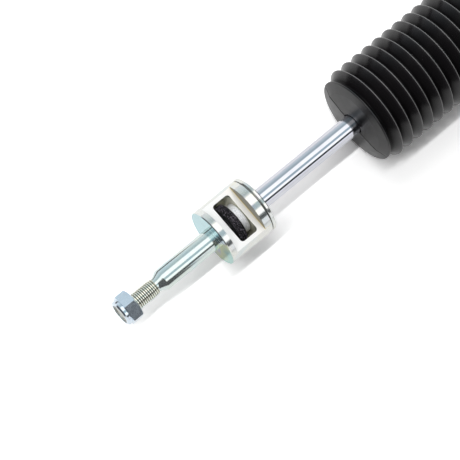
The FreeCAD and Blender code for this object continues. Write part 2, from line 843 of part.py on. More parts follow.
def window_corners(shape):
    """The edges at the four corners of the window, found by where they stand."""
    places = [value("housing_length - slot_end"), value("housing_length - slot_start")]
    side = value("slot_half_width")
    names = []
    for number, edge in enumerate(shape.Edges, start=1):
        middle = edge.CenterOfMass
        upright = all(abs(abs(vertex.Y) - side) < 1e-4 for vertex in edge.Vertexes)
        straight = isinstance(edge.Curve, Part.Line) and abs(abs(middle.y) - side) < 1e-4
        at_corner = any(abs(middle.x - place) < 1e-4 for place in places)
        if upright and straight and at_corner and middle.z > 0:
            names.append(f"Edge{number}")
    return names


def build_housing():
    """Round adjuster housing with a milled notch and a window down to the wheel."""
    wall = "(housing_length - slot_end)"
    front = "(housing_length - slot_start)"
    rod_hole = f"{ROD_SPIGOT} + slip_gap"
    stud_hole = f"({STUD_SPIGOT} + slip_gap)"
    countersink = "(stud_step + stud_ease)"
    floor = "housing_length - stud_seat"
    outline = [
        ("0", rod_hole),
        ("0", "housing_r - edge_break"),
        ("edge_break", "housing_r"),
        ("housing_length - edge_break", "housing_r"),
        ("housing_length", "housing_r - edge_break"),
        ("housing_length", f"{stud_hole} + {countersink}"),
        (f"housing_length - {countersink}", stud_hole),
        (floor, stud_hole),
        (floor, "0"),
        (front, "0"),
        (front, "slot_half_width"),
        (wall, "slot_half_width"),
        (wall, rod_hole),
    ]
    body = turned("adjuster_housing", HOUSING_FACE, outline)

    sketch = new_sketch(body, "notch_outline", "XZ_Plane")
    low = "housing_length - notch_end"
    high = "housing_length - notch_start"
    draw_outline(sketch, plain_ring(low, high, "flat_height", "housing_r + edge_break"))
    pocket(body, "notch", sketch, both_ways=True)

    sketch = new_sketch(body, "window_outline")
    draw_outline(sketch, plain_ring(wall, front, "-slot_half_width", "slot_half_width"))
    window = pocket(body, "window", sketch, "housing_r", forwards=True)
    corners = body.newObject("PartDesign::Fillet", "adjuster_housing_window_corners")
    corners.Base = (window, window_corners(window.Shape))
    corners.setExpression("Radius", formula("slot_corner_r"))
    doc.recompute()

    sketch = new_sketch(body, "detent_outline", "YZ_Plane", front)
    draw_circle(sketch, "0", "-detent_circle", "detent_ball_r + slip_gap")
    pocket(body, "detent_hole", sketch, "detent_hole_depth", forwards=True)
    sketch = new_sketch(body, "stop_outline", "YZ_Plane", front)
    draw_circle(sketch, STOP_ACROSS, f"-{STOP_REACH}", "stop_pin_r + slip_gap")
    pocket(body, "stop_hole", sketch, "stop_pin_seat", forwards=True)

    cover_hole = f"{ROD_SPIGOT} + slip_gap"
    turned("cover_plate", COVER_FACE, ring("0", "cover_thickness", cover_hole, "housing_r"))
    gasket_outer = "housing_r - gasket_margin"
    turned("cover_gasket", GASKET_FACE, plain_ring("0", "gasket_thickness", cover_hole, gasket_outer))


def build_adjuster():
    """Finger wheel and hub on the control rod, with the click ball and the stop pin.

    The pin stands just below the +Y side, so the wheel's slot starts on that side. It runs
    nearly all the way round, and the web left between its ends sets how far the wheel turns.
    """
    hole = "control_r + slip_gap"
    body = turned("adjuster_wheel", WHEEL_FACE, ring("0", "wheel_width", hole, "wheel_r", "wheel_edge"))
    sketch = new_sketch(body, "stop_slot_outline")
    slot = plain_ring(
        "wheel_width - stop_slot_depth",
        "wheel_width",
        f"stop_circle - {STOP_REACH}",
        f"stop_circle + {STOP_REACH}",
    )
    draw_outline(sketch, slot)
    doc.recompute()
    volume_before = body.Shape.Volume
    groove = body.newObject("PartDesign::Groove", "adjuster_wheel_stop_slot")
    groove.Profile = sketch
    groove.ReferenceAxis = (sketch, ["H_Axis"])
    web_angle = "2 * asin(stop_web / (2 * stop_circle))"
    groove.setExpression("Angle", formula(f"360 deg - {web_angle}"))
    groove.Reversed = True
    finish_cut(body, groove, volume_before)
    sketch = new_sketch(body, "dimple_outline", "YZ_Plane", "wheel_width")
    draw_circle(sketch, "0", "-detent_circle", "detent_dimple_r")
    dimple = pocket(body, "dimple", sketch, "detent_dimple_depth")
    repeat_around(body, dimple, "detent_count")

    turned("adjuster_hub", HUB_FACE, ring("0", "hub_length", hole, "hub_r"))

    pin_place = f"{STUD_FACE} - slot_start + stop_pin_seat - slip_gap"
    pin_length = "stop_pin_seat + wheel_gap + stop_slot_depth / 2"
    pin = doc.addObject("Part::Cylinder", "stop_pin")
    pin.Placement.Rotation = FreeCAD.Rotation(FreeCAD.Vector(0, 1, 0), 90)
    pin.setExpression("Radius", formula("stop_pin_r"))
    pin.setExpression("Height", formula(pin_length))
    pin.setExpression("Placement.Base.x", formula(f"{pin_place} - ({pin_length})"))
    pin.setExpression("Placement.Base.y", formula(STOP_ACROSS))
    pin.setExpression("Placement.Base.z", formula(f"-{STOP_REACH}"))

    ball_place = f"({WHEEL_END} + slip_gap + detent_ball_r)"
    ball = doc.addObject("Part::Sphere", "detent_ball")
    ball.setExpression("Radius", formula("detent_ball_r"))
    ball.setExpression("Placement.Base.x", formula(ball_place))
    ball.setExpression("Placement.Base.z", formula("-detent_circle"))

    start = f"({ball_place} + detent_ball_r)"
    end = f"({STUD_FACE} - slot_start + detent_hole_depth)"
    outer = "detent_ball_r - slip_gap"
    sleeve = plain_ring("0", f"{end} - {start}", f"{outer} - detent_wire", outer)
    body = turned("detent_spring", start, sleeve)
    body.setExpression("Placement.Base.z", formula("-detent_circle"))


def build_control():
    """Control rod down the hollow rod, its ring seal, and the metering valve at its foot."""
    head = "(valve_top - valve_play)"
    grip = f"({head} - valve_head)"
    top = f"({WHEEL_FACE} - {ROD_SHOULDER} + control_grip)"
    high = f"({COVER_FACE} - {ROD_SHOULDER} - ring_groove_drop)"
    low = f"({high} - ring_groove_width)"
    pin = "control_pin_r - slip_gap"
    outline = [
        (grip, "0"),
        (grip, pin),
        ("valve_top + valve_play", pin),
        ("valve_top + valve_play", "control_r"),
        (low, "control_r"),
        (low, "ring_groove_r"),
        (high, "ring_groove_r"),
        (high, "control_r"),
        (top, "control_r"),
        (top, "0"),
    ]
    turned("control_rod", ROD_SHOULDER, outline)

    section = f"(({CONTROL_BORE} - ring_groove_r) / 2)"
    body = new_body("control_o_ring", f"{ROD_SHOULDER} + ({low} + {high}) / 2")
    add_round_ring(body, f"ring_groove_r + {section}", f"{section} - slip_gap / 2")

    bore = f"{VALVE_R} - valve_wall"
    valve = [
        ("-valve_reach", bore),
        ("-valve_reach", VALVE_R),
        (head, VALVE_R),
        (head, "control_pin_r"),
        (grip, "control_pin_r"),
        (grip, bore),
    ]
    body = turned("metering_valve", ROD_SHOULDER, valve)
    sketch = new_sketch(body, "port_outline")
    draw_circle(sketch, "port_rise", "0", "port_r - slip_gap")
    pocket(body, "port", sketch, both_ways=True)


def build_stud():
    """Mounting stud with a conical shoulder, a shank, a cone and a thread, and its lock nut."""
    cone = "shank_length + taper_length"
    thread = f"{cone} + neck_length"
    end = f"{thread} + thread_exposed + nut_height - stud_end_inset"
    outline = [
        ("-stud_seat + slip_gap", "0"),
        ("-stud_seat + slip_gap", STUD_SPIGOT),
        ("-stud_step", STUD_SPIGOT),
        ("0", "shank_r"),
        ("shank_length", "shank_r"),
        (cone, "neck_r"),
        (thread, "neck_r"),
        (thread, "thread_r - edge_break"),
        (f"{thread} + edge_break", "thread_r"),
        (f"{end} - edge_break", "thread_r"),
        (end, "thread_r - edge_break"),
        (end, "0"),
    ]
    turned("mounting_stud", STUD_FACE, outline)

    hole = "thread_r + slip_gap"
    corner = "(nut_flats / sqrt(3))"
    seat = "(insert_start + insert_height)"
    cavity = "(collar_r - collar_wall)"
    nut = [
        ("0", hole),
        ("0", f"{corner} - 2 * nut_chamfer"),
        ("nut_chamfer", corner),
        ("nut_hex_height - nut_chamfer / 2", corner),
        ("nut_hex_height", "collar_r"),
        ("nut_height - nut_chamfer", "collar_r"),
        ("nut_height", "collar_crimp_r"),
        ("nut_height", f"{cavity} - nut_chamfer"),
        (seat, f"{cavity} - nut_chamfer"),
        (seat, cavity),
        ("insert_start", cavity),
        ("insert_start", hole),
    ]
    body = turned("lock_nut", NUT_FACE, nut)
    cut_hexagon(body, "nut_flats", f"{corner} + edge_break", "nut_turn")
    insert = plain_ring("slip_gap", "insert_height - slip_gap", hole, f"{cavity} - slip_gap")
    turned("lock_nut_insert", f"{NUT_FACE} + insert_start", insert)


build_eye()
build_base_cap()
build_tubes()
build_foot_valve()
build_rod()
build_piston()
build_head()
build_boot()
build_housing()
build_adjuster()
build_control()
build_stud()
doc.recompute()

for item in doc.Objects:
    if "Invalid" in item.State or "Error" in item.State:
        raise RuntimeError(f"{item.Label} failed: {item.State}")
pieces = [
    item for item in doc.Objects if item.TypeId in ("PartDesign::Body", "Part::Cylinder", "Part::Sphere")
]
for piece in pieces:
    if piece.Shape.isNull() or not piece.Shape.isValid() or len(piece.Shape.Solids) != 1:
        raise RuntimeError(f"{piece.Label} is not one sound solid")

os.makedirs("parts", exist_ok=True)
for piece in pieces:
    piece.Shape.exportStep(os.path.join("parts", f"{piece.Label}.step"))
print(len(pieces), "pieces written")
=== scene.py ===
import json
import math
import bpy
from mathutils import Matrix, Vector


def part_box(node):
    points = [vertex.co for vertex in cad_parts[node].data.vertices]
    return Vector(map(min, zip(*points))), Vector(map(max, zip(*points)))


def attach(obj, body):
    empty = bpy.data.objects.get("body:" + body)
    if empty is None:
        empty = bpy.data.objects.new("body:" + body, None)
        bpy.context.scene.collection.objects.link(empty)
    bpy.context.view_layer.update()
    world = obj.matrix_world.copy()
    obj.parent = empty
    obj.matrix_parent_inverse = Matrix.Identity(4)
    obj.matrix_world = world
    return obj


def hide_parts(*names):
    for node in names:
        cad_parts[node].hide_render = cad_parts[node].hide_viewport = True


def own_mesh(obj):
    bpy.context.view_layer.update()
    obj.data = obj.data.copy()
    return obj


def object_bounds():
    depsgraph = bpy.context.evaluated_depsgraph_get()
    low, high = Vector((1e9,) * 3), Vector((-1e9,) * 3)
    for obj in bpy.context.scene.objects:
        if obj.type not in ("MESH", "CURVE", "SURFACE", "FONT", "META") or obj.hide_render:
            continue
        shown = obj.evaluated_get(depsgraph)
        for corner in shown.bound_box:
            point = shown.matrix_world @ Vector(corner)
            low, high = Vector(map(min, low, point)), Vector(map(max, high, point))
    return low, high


bl_info = {
    "name": "Shock absorber looks",
    "version": (1, 0, 0),
    "blender": (4, 5, 0),
    "location": "View3D > Sidebar > Shock absorber",
    "description": "Boot, stud, knurl, springs, welds, finishes and stage of a shock absorber",
    "category": "Object",
}

from functools import partial

import bmesh
import bpy
from bpy.props import FloatProperty, FloatVectorProperty, IntProperty, PointerProperty
from mathutils import Matrix, Vector

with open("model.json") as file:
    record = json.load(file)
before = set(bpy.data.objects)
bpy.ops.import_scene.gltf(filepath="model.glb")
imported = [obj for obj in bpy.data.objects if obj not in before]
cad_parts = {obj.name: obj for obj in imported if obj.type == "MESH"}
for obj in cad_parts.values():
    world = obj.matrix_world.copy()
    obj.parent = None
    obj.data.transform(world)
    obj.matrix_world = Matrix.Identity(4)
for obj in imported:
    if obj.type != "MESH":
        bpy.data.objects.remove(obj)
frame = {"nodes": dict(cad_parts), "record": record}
CAD_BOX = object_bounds()

MM = 0.001
FULL_TURN = 2 * math.pi

# Corners of the solids that the pieces below are fitted to
BOOT_START, BOOT_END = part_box("boot")
CLIP_START, CLIP_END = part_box("boot_clip")
TUBE_START, TUBE_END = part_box("reserve_tube")
STUD_START, STUD_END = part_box("mounting_stud")
HOUSING_START, HOUSING_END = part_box("adjuster_housing")
WHEEL_START, WHEEL_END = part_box("adjuster_wheel")
ROD_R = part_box("piston_rod")[1].y
EYE_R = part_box("eye_ring")[1].x

# The milled notch of the housing: its wall and its end from the housing's faces, its flat from the axis
NOTCH_WALL = HOUSING_START.x + 5.2 * MM
NOTCH_END = HOUSING_END.x - 3.9 * MM
NOTCH_HEIGHT = 9.2 * MM
# The slot under the notch: its side past the wheel, and how far its ends lie from the axis
SLOT_SIDE = WHEEL_END.x + 0.7 * MM
SLOT_R = 13.25 * MM

# Kinds of property that repeat
LengthProperty = partial(FloatProperty, unit="LENGTH")
AngleProperty = partial(FloatProperty, subtype="ANGLE")
ColourProperty = partial(FloatVectorProperty, subtype="COLOR")


class BootSettings(bpy.types.PropertyGroup):
    """Sizes of the bellows boot."""

    folds: IntProperty(name="Folds", description="Full folds behind the front rim", default=23)
    fold_pitch: LengthProperty(name="Fold pitch", description="From one rim to the next", default=7.9 * MM)
    back_run: LengthProperty(name="Back run", description="Length of a fold's steep back", default=2 * MM)
    valley_depth: LengthProperty(name="Valley depth", description="From rim to valley", default=5.3 * MM)
    wall: LengthProperty(name="Wall", description="Thickness of the rubber", default=1.3 * MM)
    edge_round: LengthProperty(name="Edge round", description="Radius of a rim's edge", default=0.35 * MM)
    front_rim_gap: LengthProperty(
        name="Front rim gap", description="From the front rim to the next", default=7.45 * MM
    )
    front_rim_drop: LengthProperty(
        name="Front rim drop", description="How much smaller the front rim is", default=2.7 * MM
    )
    bead: LengthProperty(name="Bead", description="Width of the front rim", default=1.1 * MM)
    face_bulge: LengthProperty(
        name="Face bulge", description="How far the front face stands before its rim", default=3.1 * MM
    )
    bend_inward: LengthProperty(
        name="Bend inward", description="From the front rim in to the face's bend", default=6.5 * MM
    )
    bend_forward: LengthProperty(
        name="Bend forward", description="From the front rim to the face's bend", default=1.7 * MM
    )
    lip_forward: LengthProperty(
        name="Lip forward", description="From the front rim to the lip round the rod", default=2.1 * MM
    )
    lip_width: LengthProperty(name="Lip width", description="Flat ring round the rod", default=4 * MM)
    lip_wall: LengthProperty(name="Lip wall", description="Thickness of the lip", default=1.6 * MM)
    rod_gap: LengthProperty(name="Rod gap", description="Between the lip and the rod", default=0.35 * MM)
    crease: LengthProperty(
        name="Crease", description="Height of the crease across the front face", default=1.6 * MM
    )
    crease_spread: LengthProperty(
        name="Crease spread", description="Half width over which the crease falls away", default=18 * MM
    )
    crease_top: LengthProperty(name="Crease top", description="How blunt the crease is", default=1.2 * MM)
    groove_depth: LengthProperty(
        name="Groove depth", description="Depth of the line along the crease", default=0.5 * MM
    )
    groove_width: LengthProperty(
        name="Groove width", description="Half width of the line along the crease", default=0.6 * MM
    )
    cuff_length: LengthProperty(name="Cuff length", description="Plain sleeve on the tube", default=13 * MM)
    cuff_wall: LengthProperty(name="Cuff wall", description="Thickness of the sleeve", default=2 * MM)
    closed_share: FloatProperty(
        name="Closed share", description="Length left when the rod is pushed in", default=0.428
    )
    crowding: FloatProperty(
        name="Crowding", description="How much closer the steps are beside the crease", default=0.7
    )
    sides: IntProperty(name="Sides", description="Steps round the boot", default=144)


class StudSettings(bpy.types.PropertyGroup):
    """Sizes of the mounting stud."""

    pitch: LengthProperty(name="Pitch", description="Thread pitch", default=1.25 * MM)
    crest_r: LengthProperty(name="Crest radius", description="Outside of the thread", default=5 * MM)
    root_r: LengthProperty(name="Root radius", description="Bottom of the thread", default=4.24 * MM)
    chamfer: LengthProperty(name="Chamfer", description="Length of the pointed end", default=0.9 * MM)
    tip_drop: LengthProperty(
        name="Tip drop", description="From the root to the end's rim", default=0.1 * MM
    )
    shank_r: LengthProperty(name="Shank radius", description="Smooth shank", default=6.5 * MM)
    shank_length: LengthProperty(
        name="Shank length", description="From the housing to the cone", default=36.6 * MM
    )
    cone_length: LengthProperty(
        name="Cone length", description="From the shank to the neck", default=4 * MM
    )
    neck_length: LengthProperty(
        name="Neck length", description="From the cone to the thread", default=1 * MM
    )
    neck_r: LengthProperty(name="Neck radius", description="Run-out neck", default=4.35 * MM)
    spigot_r: LengthProperty(name="Spigot radius", description="End held in the housing", default=5.6 * MM)
    spigot_edge: LengthProperty(name="Spigot edge", description="Bevel of that end", default=0.4 * MM)
    sides: IntProperty(name="Sides", description="Steps round the stud", default=96)
    rows_per_turn: IntProperty(name="Rows per turn", description="Steps along one turn", default=12)


class WheelSettings(bpy.types.PropertyGroup):
    """Sizes of the finger wheel's knurl."""

    ridges: IntProperty(name="Ridges", description="Knurl ridges round the wheel", default=84)
    depth: LengthProperty(name="Depth", description="Height of the knurl", default=0.28 * MM)
    margin: LengthProperty(name="Margin", description="Plain edge at each side", default=0.9 * MM)
    sink: LengthProperty(name="Sink", description="How far the grooves lie in the wheel", default=0.05 * MM)
    band: LengthProperty(
        name="Band", description="From the wheel's rim to the inside of the knurled band", default=0.3 * MM
    )
    steps_per_ridge: IntProperty(name="Steps per ridge", description="Steps over one ridge", default=6)


class SpringSettings(bpy.types.PropertyGroup):
    """Sizes of the dished springs over the valve plates."""

    leaf: LengthProperty(name="Leaf", description="Thickness of the spring", default=0.25 * MM)
    reach: LengthProperty(name="Reach", description="From rim to bore", default=3.4 * MM)
    edge_round: LengthProperty(name="Edge round", description="Radius of its edges", default=0.08 * MM)
    closed_share: FloatProperty(
        name="Closed share", description="Height left when the plate is lifted", default=0.19
    )
    sides: IntProperty(name="Sides", description="Steps round a spring", default=72)


class WeldSettings(bpy.types.PropertyGroup):
    """Sizes of the welds at the lower end."""

    bead_r: LengthProperty(name="Bead radius", description="Half width of a bead", default=1.5 * MM)
    ripple: LengthProperty(name="Ripple", description="Length of one ripple of a bead", default=1.7 * MM)
    waist: FloatProperty(name="Waist", description="Share of the radius left between ripples", default=0.9)
    steps_per_ripple: IntProperty(name="Steps per ripple", description="Steps along one ripple", default=5)
    boss_r: LengthProperty(
        name="Boss radius", description="Boss that the eye is welded to", default=12.5 * MM
    )
    tube_sink: LengthProperty(name="Tube sink", description="Cap's bead under the tube", default=0.6 * MM)
    eye_lift: LengthProperty(name="Eye lift", description="Eye's bead above the ring", default=0.4 * MM)


class FinishSettings(bpy.types.PropertyGroup):
    """Colours of the finishes."""

    zinc: ColourProperty(name="Zinc", description="Zinc plate", default=(0.77, 0.80, 0.79))
    nut: ColourProperty(name="Nut", description="Zinc plate of the nut", default=(0.73, 0.82, 0.90))
    shank: ColourProperty(name="Shank", description="Zinc plate of the stud", default=(0.70, 0.80, 0.80))
    chrome: ColourProperty(name="Chrome", description="Hard chrome of the rod", default=(0.70, 0.71, 0.76))
    rubber: ColourProperty(name="Rubber", description="Boot and bushes", default=(0.010, 0.009, 0.010))
    paint: ColourProperty(name="Paint", description="Paint of the body", default=(0.016, 0.016, 0.018))
    steel: ColourProperty(name="Steel", description="Machined steel", default=(0.60, 0.60, 0.61))
    sintered: ColourProperty(
        name="Sintered iron", description="Pistons and guides", default=(0.42, 0.42, 0.41)
    )
    hub: ColourProperty(name="Hub", description="Hub beside the wheel", default=(0.92, 0.92, 0.93))
    bronze: ColourProperty(name="Bronze", description="Guide bush", default=(0.62, 0.45, 0.25))
    wheel: ColourProperty(name="Wheel", description="Finger wheel", default=(0.016, 0.016, 0.018))
    nylon: ColourProperty(name="Nylon", description="Locking ring of the nut", default=(0.74, 0.74, 0.70))
    gasket: ColourProperty(name="Gasket", description="Fibre gasket", default=(0.03, 0.028, 0.024))


class StageSettings(bpy.types.PropertyGroup):
    """Camera, floor and lamps."""

    image_side: IntProperty(name="Image side", description="Pixels along the square image", default=460)
    focal_pixels: FloatProperty(name="Focal length", description="In pixels of the image", default=1840)
    target: FloatVectorProperty(
        name="Target", description="Point in the middle of the image", unit="LENGTH",
        default=(540.3 * MM, 2.4 * MM, 0),
    )
    distance: LengthProperty(
        name="Distance", description="From the target to the camera", default=1020.3 * MM
    )
    lean_along: AngleProperty(
        name="Lean along", description="Camera's lean towards the stud", default=math.radians(14.4)
    )
    lean_across: AngleProperty(
        name="Lean across", description="Camera's lean towards +Y", default=math.radians(5.44)
    )
    roll: AngleProperty(
        name="Roll", description="Turn of the image about its middle", default=math.radians(39.31)
    )
    lamp_height: LengthProperty(name="Lamp height", description="Above the floor", default=1.4)
    lamp_length: LengthProperty(name="Lamp length", description="Of the strip lamp", default=1.35)
    lamp_width: LengthProperty(name="Lamp width", description="Of the strip lamp", default=0.06)
    lamp_ahead: LengthProperty(
        name="Lamp ahead", description="Strip lamp's middle, ahead of the housing", default=0.6
    )
    lamp_lean: AngleProperty(
        name="Lamp lean", description="From straight up towards -Y", default=math.radians(6.6)
    )
    lamp_power: FloatProperty(name="Lamp power", description="Of the strip lamp", default=12, unit="POWER")
    box_distance: LengthProperty(name="Box distance", description="Softbox to housing", default=1.4)
    box_behind: LengthProperty(
        name="Box behind", description="Softbox's middle, behind the housing", default=0.37
    )
    box_length: LengthProperty(name="Box length", description="Of the softbox", default=1.3)
    box_width: LengthProperty(name="Box width", description="Of the softbox", default=1.25)
    box_lean: AngleProperty(
        name="Box lean", description="From straight up towards -Y", default=math.radians(42)
    )
    box_power: FloatProperty(name="Box power", description="Of the softbox", default=9.1, unit="POWER")
    ambient: FloatProperty(
        name="Ambient", description="Soft light straight above, which fades to the horizon", default=0.44
    )
    floor_gap: LengthProperty(
        name="Floor gap", description="Under the part's lowest point", default=0.3 * MM
    )
    floor_reach: LengthProperty(name="Floor reach", description="Half width of the floor", default=12)
    floor_colour: FloatProperty(name="Floor colour", description="White of the floor", default=0.85)
    floor_mirrored: FloatProperty(
        name="Floor mirrored", description="White of the floor as metal mirrors it", default=1.05
    )
    floor_seen: FloatProperty(
        name="Floor seen", description="White of the floor to the camera, so that only deep shade shows",
        default=1.5,
    )
    shade_length: LengthProperty(
        name="Shade length", description="Half length of the floor that shows shadows", default=0.42
    )
    shade_width: LengthProperty(
        name="Shade width", description="Half width of the floor that shows shadows", default=0.2
    )


def smooth_step(low, high, value):
    """0 below low, 1 above high, and an even S in between."""
    share = min(1.0, max(0.0, (value - low) / (high - low)))
    return share * share * (3 - 2 * share)


def rounded(corners, steps=4):
    """A closed outline from (place, radius, fillet) corners, with an arc at each fillet."""
    outline = []
    for number, (place, radius, fillet) in enumerate(corners):
        corner = Vector((place, radius))
        if fillet == 0:
            outline.append(corner)
            continue
        before = (Vector(corners[number - 1][:2]) - corner).normalized()
        after = (Vector(corners[(number + 1) % len(corners)][:2]) - corner).normalized()
        half = before.angle(after) / 2
        reach = fillet / math.tan(half)
        centre = corner + (before + after).normalized() * fillet / math.sin(half)
        start = corner + before * reach - centre
        end = corner + after * reach - centre
        turn = start.angle_signed(end)
        for step in range(steps + 1):
            spoke = start.copy()
            spoke.rotate(Matrix.Rotation(-turn * step / steps, 2))
            outline.append(centre + spoke)
    return outline


def around(place, radius, angle):
    """A point at a place along the axis, a radius and an angle from +Y towards +Z."""
    return Vector((place, radius * math.cos(angle), radius * math.sin(angle)))


def even_turn(sides):
    """Angles of one turn, evenly spaced."""
    return [FULL_TURN * side / sides for side in range(sides)]


def crowded_turn(sides, crowding):
    """Angles of one turn, closer together near the Y axis."""
    return [angle - crowding * math.sin(2 * angle) / 2 for angle in even_turn(sides)]


# Points closer than this become one
MERGE_DISTANCE = 1e-7


def skin(name, rings, closed=True, sharp=math.radians(40)):
    """A piece over rings of points, each joined to the next and the last to the first, or else capped."""
    sides = len(rings[0])
    last = len(rings) - 1
    points = [point for ring in rings for point in ring]
    faces = []
    for number in range(last + 1 if closed else last):
        here = number * sides
        there = (number + 1) % len(rings) * sides
        for side in range(sides):
            beside = (side + 1) % sides
            faces.append((here + side, here + beside, there + beside, there + side))
    if not closed:
        faces.append(tuple(range(last * sides, len(points))))
    mesh = bpy.data.meshes.new(name)
    mesh.from_pydata(points, [], faces)
    work = bmesh.new()
    work.from_mesh(mesh)
    bmesh.ops.remove_doubles(work, verts=work.verts, dist=MERGE_DISTANCE)
    bmesh.ops.dissolve_degenerate(work, edges=work.edges, dist=MERGE_DISTANCE)
    bmesh.ops.recalc_face_normals(work, faces=work.faces)
    work.to_mesh(mesh)
    work.free()
    mesh.shade_smooth()
    mesh.set_sharp_from_angle(angle=sharp)
    piece = bpy.data.objects.new(name, mesh)
    bpy.context.scene.collection.objects.link(piece)
    return piece


def lathe(name, outline, angles, reshape=None):
    """The solid that a closed outline sweeps about the X axis, its points then moved by reshape."""
    rings = [[around(place, radius, angle) for angle in angles] for place, radius in outline]
    if reshape:
        rings = [[reshape(point) for point in ring] for ring in rings]
    return skin(name, rings)


def bead_along(name, path, radii, sides=12):
    """A bead of changing radius round a closed path."""
    rings = []
    for number, (middle, radius) in enumerate(zip(path, radii)):
        ahead = (path[(number + 1) % len(path)] - path[number - 1]).normalized()
        across = ahead.cross(Vector((1, 0, 0))).normalized()
        up = across.cross(ahead)
        spokes = [across * math.cos(angle) + up * math.sin(angle) for angle in even_turn(sides)]
        rings.append([middle + spoke * radius for spoke in spokes])
    return skin(name, rings)


def feed(tree, value, socket):
    """Link a socket to the output that feeds it, or set it to a plain value."""
    if isinstance(value, bpy.types.NodeSocket):
        tree.links.new(value, socket)
    else:
        socket.default_value = value


def add_node(tree, kind, inputs=None, **attributes):
    """A shader node with its attributes set and its inputs fed."""
    made = tree.nodes.new(kind)
    for name, value in attributes.items():
        setattr(made, name, value)
    for name, value in (inputs or {}).items():
        feed(tree, value, made.inputs[name])
    return made


def math_of(tree, operation, first, second):
    """A number worked out from two others."""
    return add_node(tree, "ShaderNodeMath", {0: first, 1: second}, operation=operation).outputs[0]


def vector_math_of(tree, operation, *vectors):
    """A number worked out from vectors."""
    inputs = dict(enumerate(vectors))
    return add_node(tree, "ShaderNodeVectorMath", inputs, operation=operation).outputs["Value"]


def both(tree, first, second):
    """The product of two masks."""
    return math_of(tree, "MULTIPLY", first, second)


def added(tree, first, second):
    """The sum of two values."""
    return math_of(tree, "ADD", first, second)


def ranged(tree, source, start, end, low=0.0, high=1.0, **attributes):
    """Low where a value is at start, high where it is at end, even in between and level past both."""
    inputs = {"Value": source, "From Min": start, "From Max": end, "To Min": low, "To Max": high}
    return add_node(tree, "ShaderNodeMapRange", inputs, **attributes).outputs["Result"]


def scaled(tree, source, low, high):
    """A value between 0 and 1 stretched over another range."""
    return ranged(tree, source, 0.0, 1.0, low, high)


def place_of(tree):
    """Where on the part a point lies."""
    return add_node(tree, "ShaderNodeTexCoord").outputs["Object"]


def along(tree, axis, low, high):
    """0 at one place on an axis of the part, 1 at another."""
    split = add_node(tree, "ShaderNodeSeparateXYZ", {0: place_of(tree)})
    return ranged(tree, split.outputs[axis], low, high)


def near_axis(tree, low, high):
    """0 at one distance from the axis of the part, 1 at another."""
    across = add_node(tree, "ShaderNodeMapping", {"Vector": place_of(tree), "Scale": (0, 1, 1)})
    return ranged(tree, vector_math_of(tree, "LENGTH", across.outputs["Vector"]), low, high)


def grain(tree, scale, stretch=(1, 1, 1), detail=4.0, distortion=0.0):
    """Noise fixed to the piece: scale is in features per metre, stretched along each axis."""
    mapping = add_node(tree, "ShaderNodeMapping", {"Vector": place_of(tree), "Scale": stretch})
    inputs = {
        "Vector": mapping.outputs["Vector"], "Scale": scale, "Detail": detail, "Distortion": distortion
    }
    return add_node(tree, "ShaderNodeTexNoise", inputs).outputs["Fac"]


def tinted(tree, source, stops):
    """A ramp's colour by a value: stops are (value, colour)."""
    ramp = add_node(tree, "ShaderNodeValToRGB", {"Fac": source})
    elements = ramp.color_ramp.elements
    while len(elements) < len(stops):
        elements.new(0.5)
    for element, (place, colour) in zip(elements, stops):
        element.position = place
        element.color = (*colour, 1)
    return ramp.outputs["Color"]


def blend(tree, mask, first, second):
    """One colour where a mask is 0, the other where it is 1."""
    return add_node(tree, "ShaderNodeMix", {0: mask, 6: first, 7: second}, data_type="RGBA").outputs[2]


def mixed(tree, share, first, second):
    """A shader between two others."""
    return add_node(tree, "ShaderNodeMixShader", {0: share, 1: first, 2: second}).outputs[0]


def new_finish(name, sockets=None):
    """A material with one Principled shader: the material, its tree and that shader."""
    material = bpy.data.materials.new(name)
    material.use_nodes = True
    tree = material.node_tree
    shader = tree.nodes["Principled BSDF"]
    for socket, value in (sockets or {}).items():
        shader.inputs[socket].default_value = value
    return material, tree, shader


def shade(colour, share, cast=(0, 0, 0)):
    """A colour made darker or lighter, with a cast added."""
    return tuple(max(0.0, channel * share + extra) for channel, extra in zip(colour, cast))


def tones(name, *stops):
    """A ramp's stops from one colour of the settings: each a place, a share and maybe a cast."""
    colour = getattr(bpy.context.scene.shock_finish, name)
    return [(place, shade(colour, *how)) for place, *how in stops]


def colour_by(tree, shader, source, stops):
    """Colour a surface by a value."""
    feed(tree, tinted(tree, source, stops), shader.inputs["Base Color"])


# Most of a noise lies between these values
NOISE_LOW = 0.3
NOISE_HIGH = 0.7


def cloudy(tree, source, low, high):
    """A noise stretched over a range."""
    return ranged(tree, source, NOISE_LOW, NOISE_HIGH, low, high)


def roughen(tree, shader, source, low, high):
    """Roughness that follows a noise."""
    feed(tree, cloudy(tree, source, low, high), shader.inputs["Roughness"])


def relief(tree, shader, source, depth, strength):
    """Raise the surface by a value, depth metres at most."""
    bump = add_node(tree, "ShaderNodeBump", {"Height": source, "Strength": strength, "Distance": depth})
    feed(tree, bump.outputs["Normal"], shader.inputs["Normal"])


# How metallic bright zinc is, and the flat of the notch and the inside of the slot, which are duller
ZINC_METALLIC = 0.88
FLAT_METALLIC = 0.30
SLOT_METALLIC = 0.02
# The small step in which the borders between two colours are set
HAIR = 0.05 * MM


def zinc_colour(tree, name="zinc"):
    """Bright zinc with a faint green, straw and violet cast."""
    stops = tones(
        name,
        (0.30, 0.96, (-0.06, 0.0, 0.0)),
        (0.46, 1.0),
        (0.60, 1.03, (0.03, 0.0, -0.05)),
        (0.70, 0.97, (0.02, -0.03, 0.02)),
    )
    return tinted(tree, grain(tree, 55, detail=3, distortion=0.8), stops)


def zinc_surface(tree, shader, duller=None):
    """The sheen and the fine turning marks of zinc plate, rougher by duller where that is given."""
    rough = cloudy(tree, grain(tree, 420), 0.09, 0.16)
    if duller is not None:
        rough = added(tree, rough, duller)
    feed(tree, rough, shader.inputs["Roughness"])
    relief(tree, shader, grain(tree, 260, (8, 1, 1), detail=2), 0.004 * MM, 0.2)


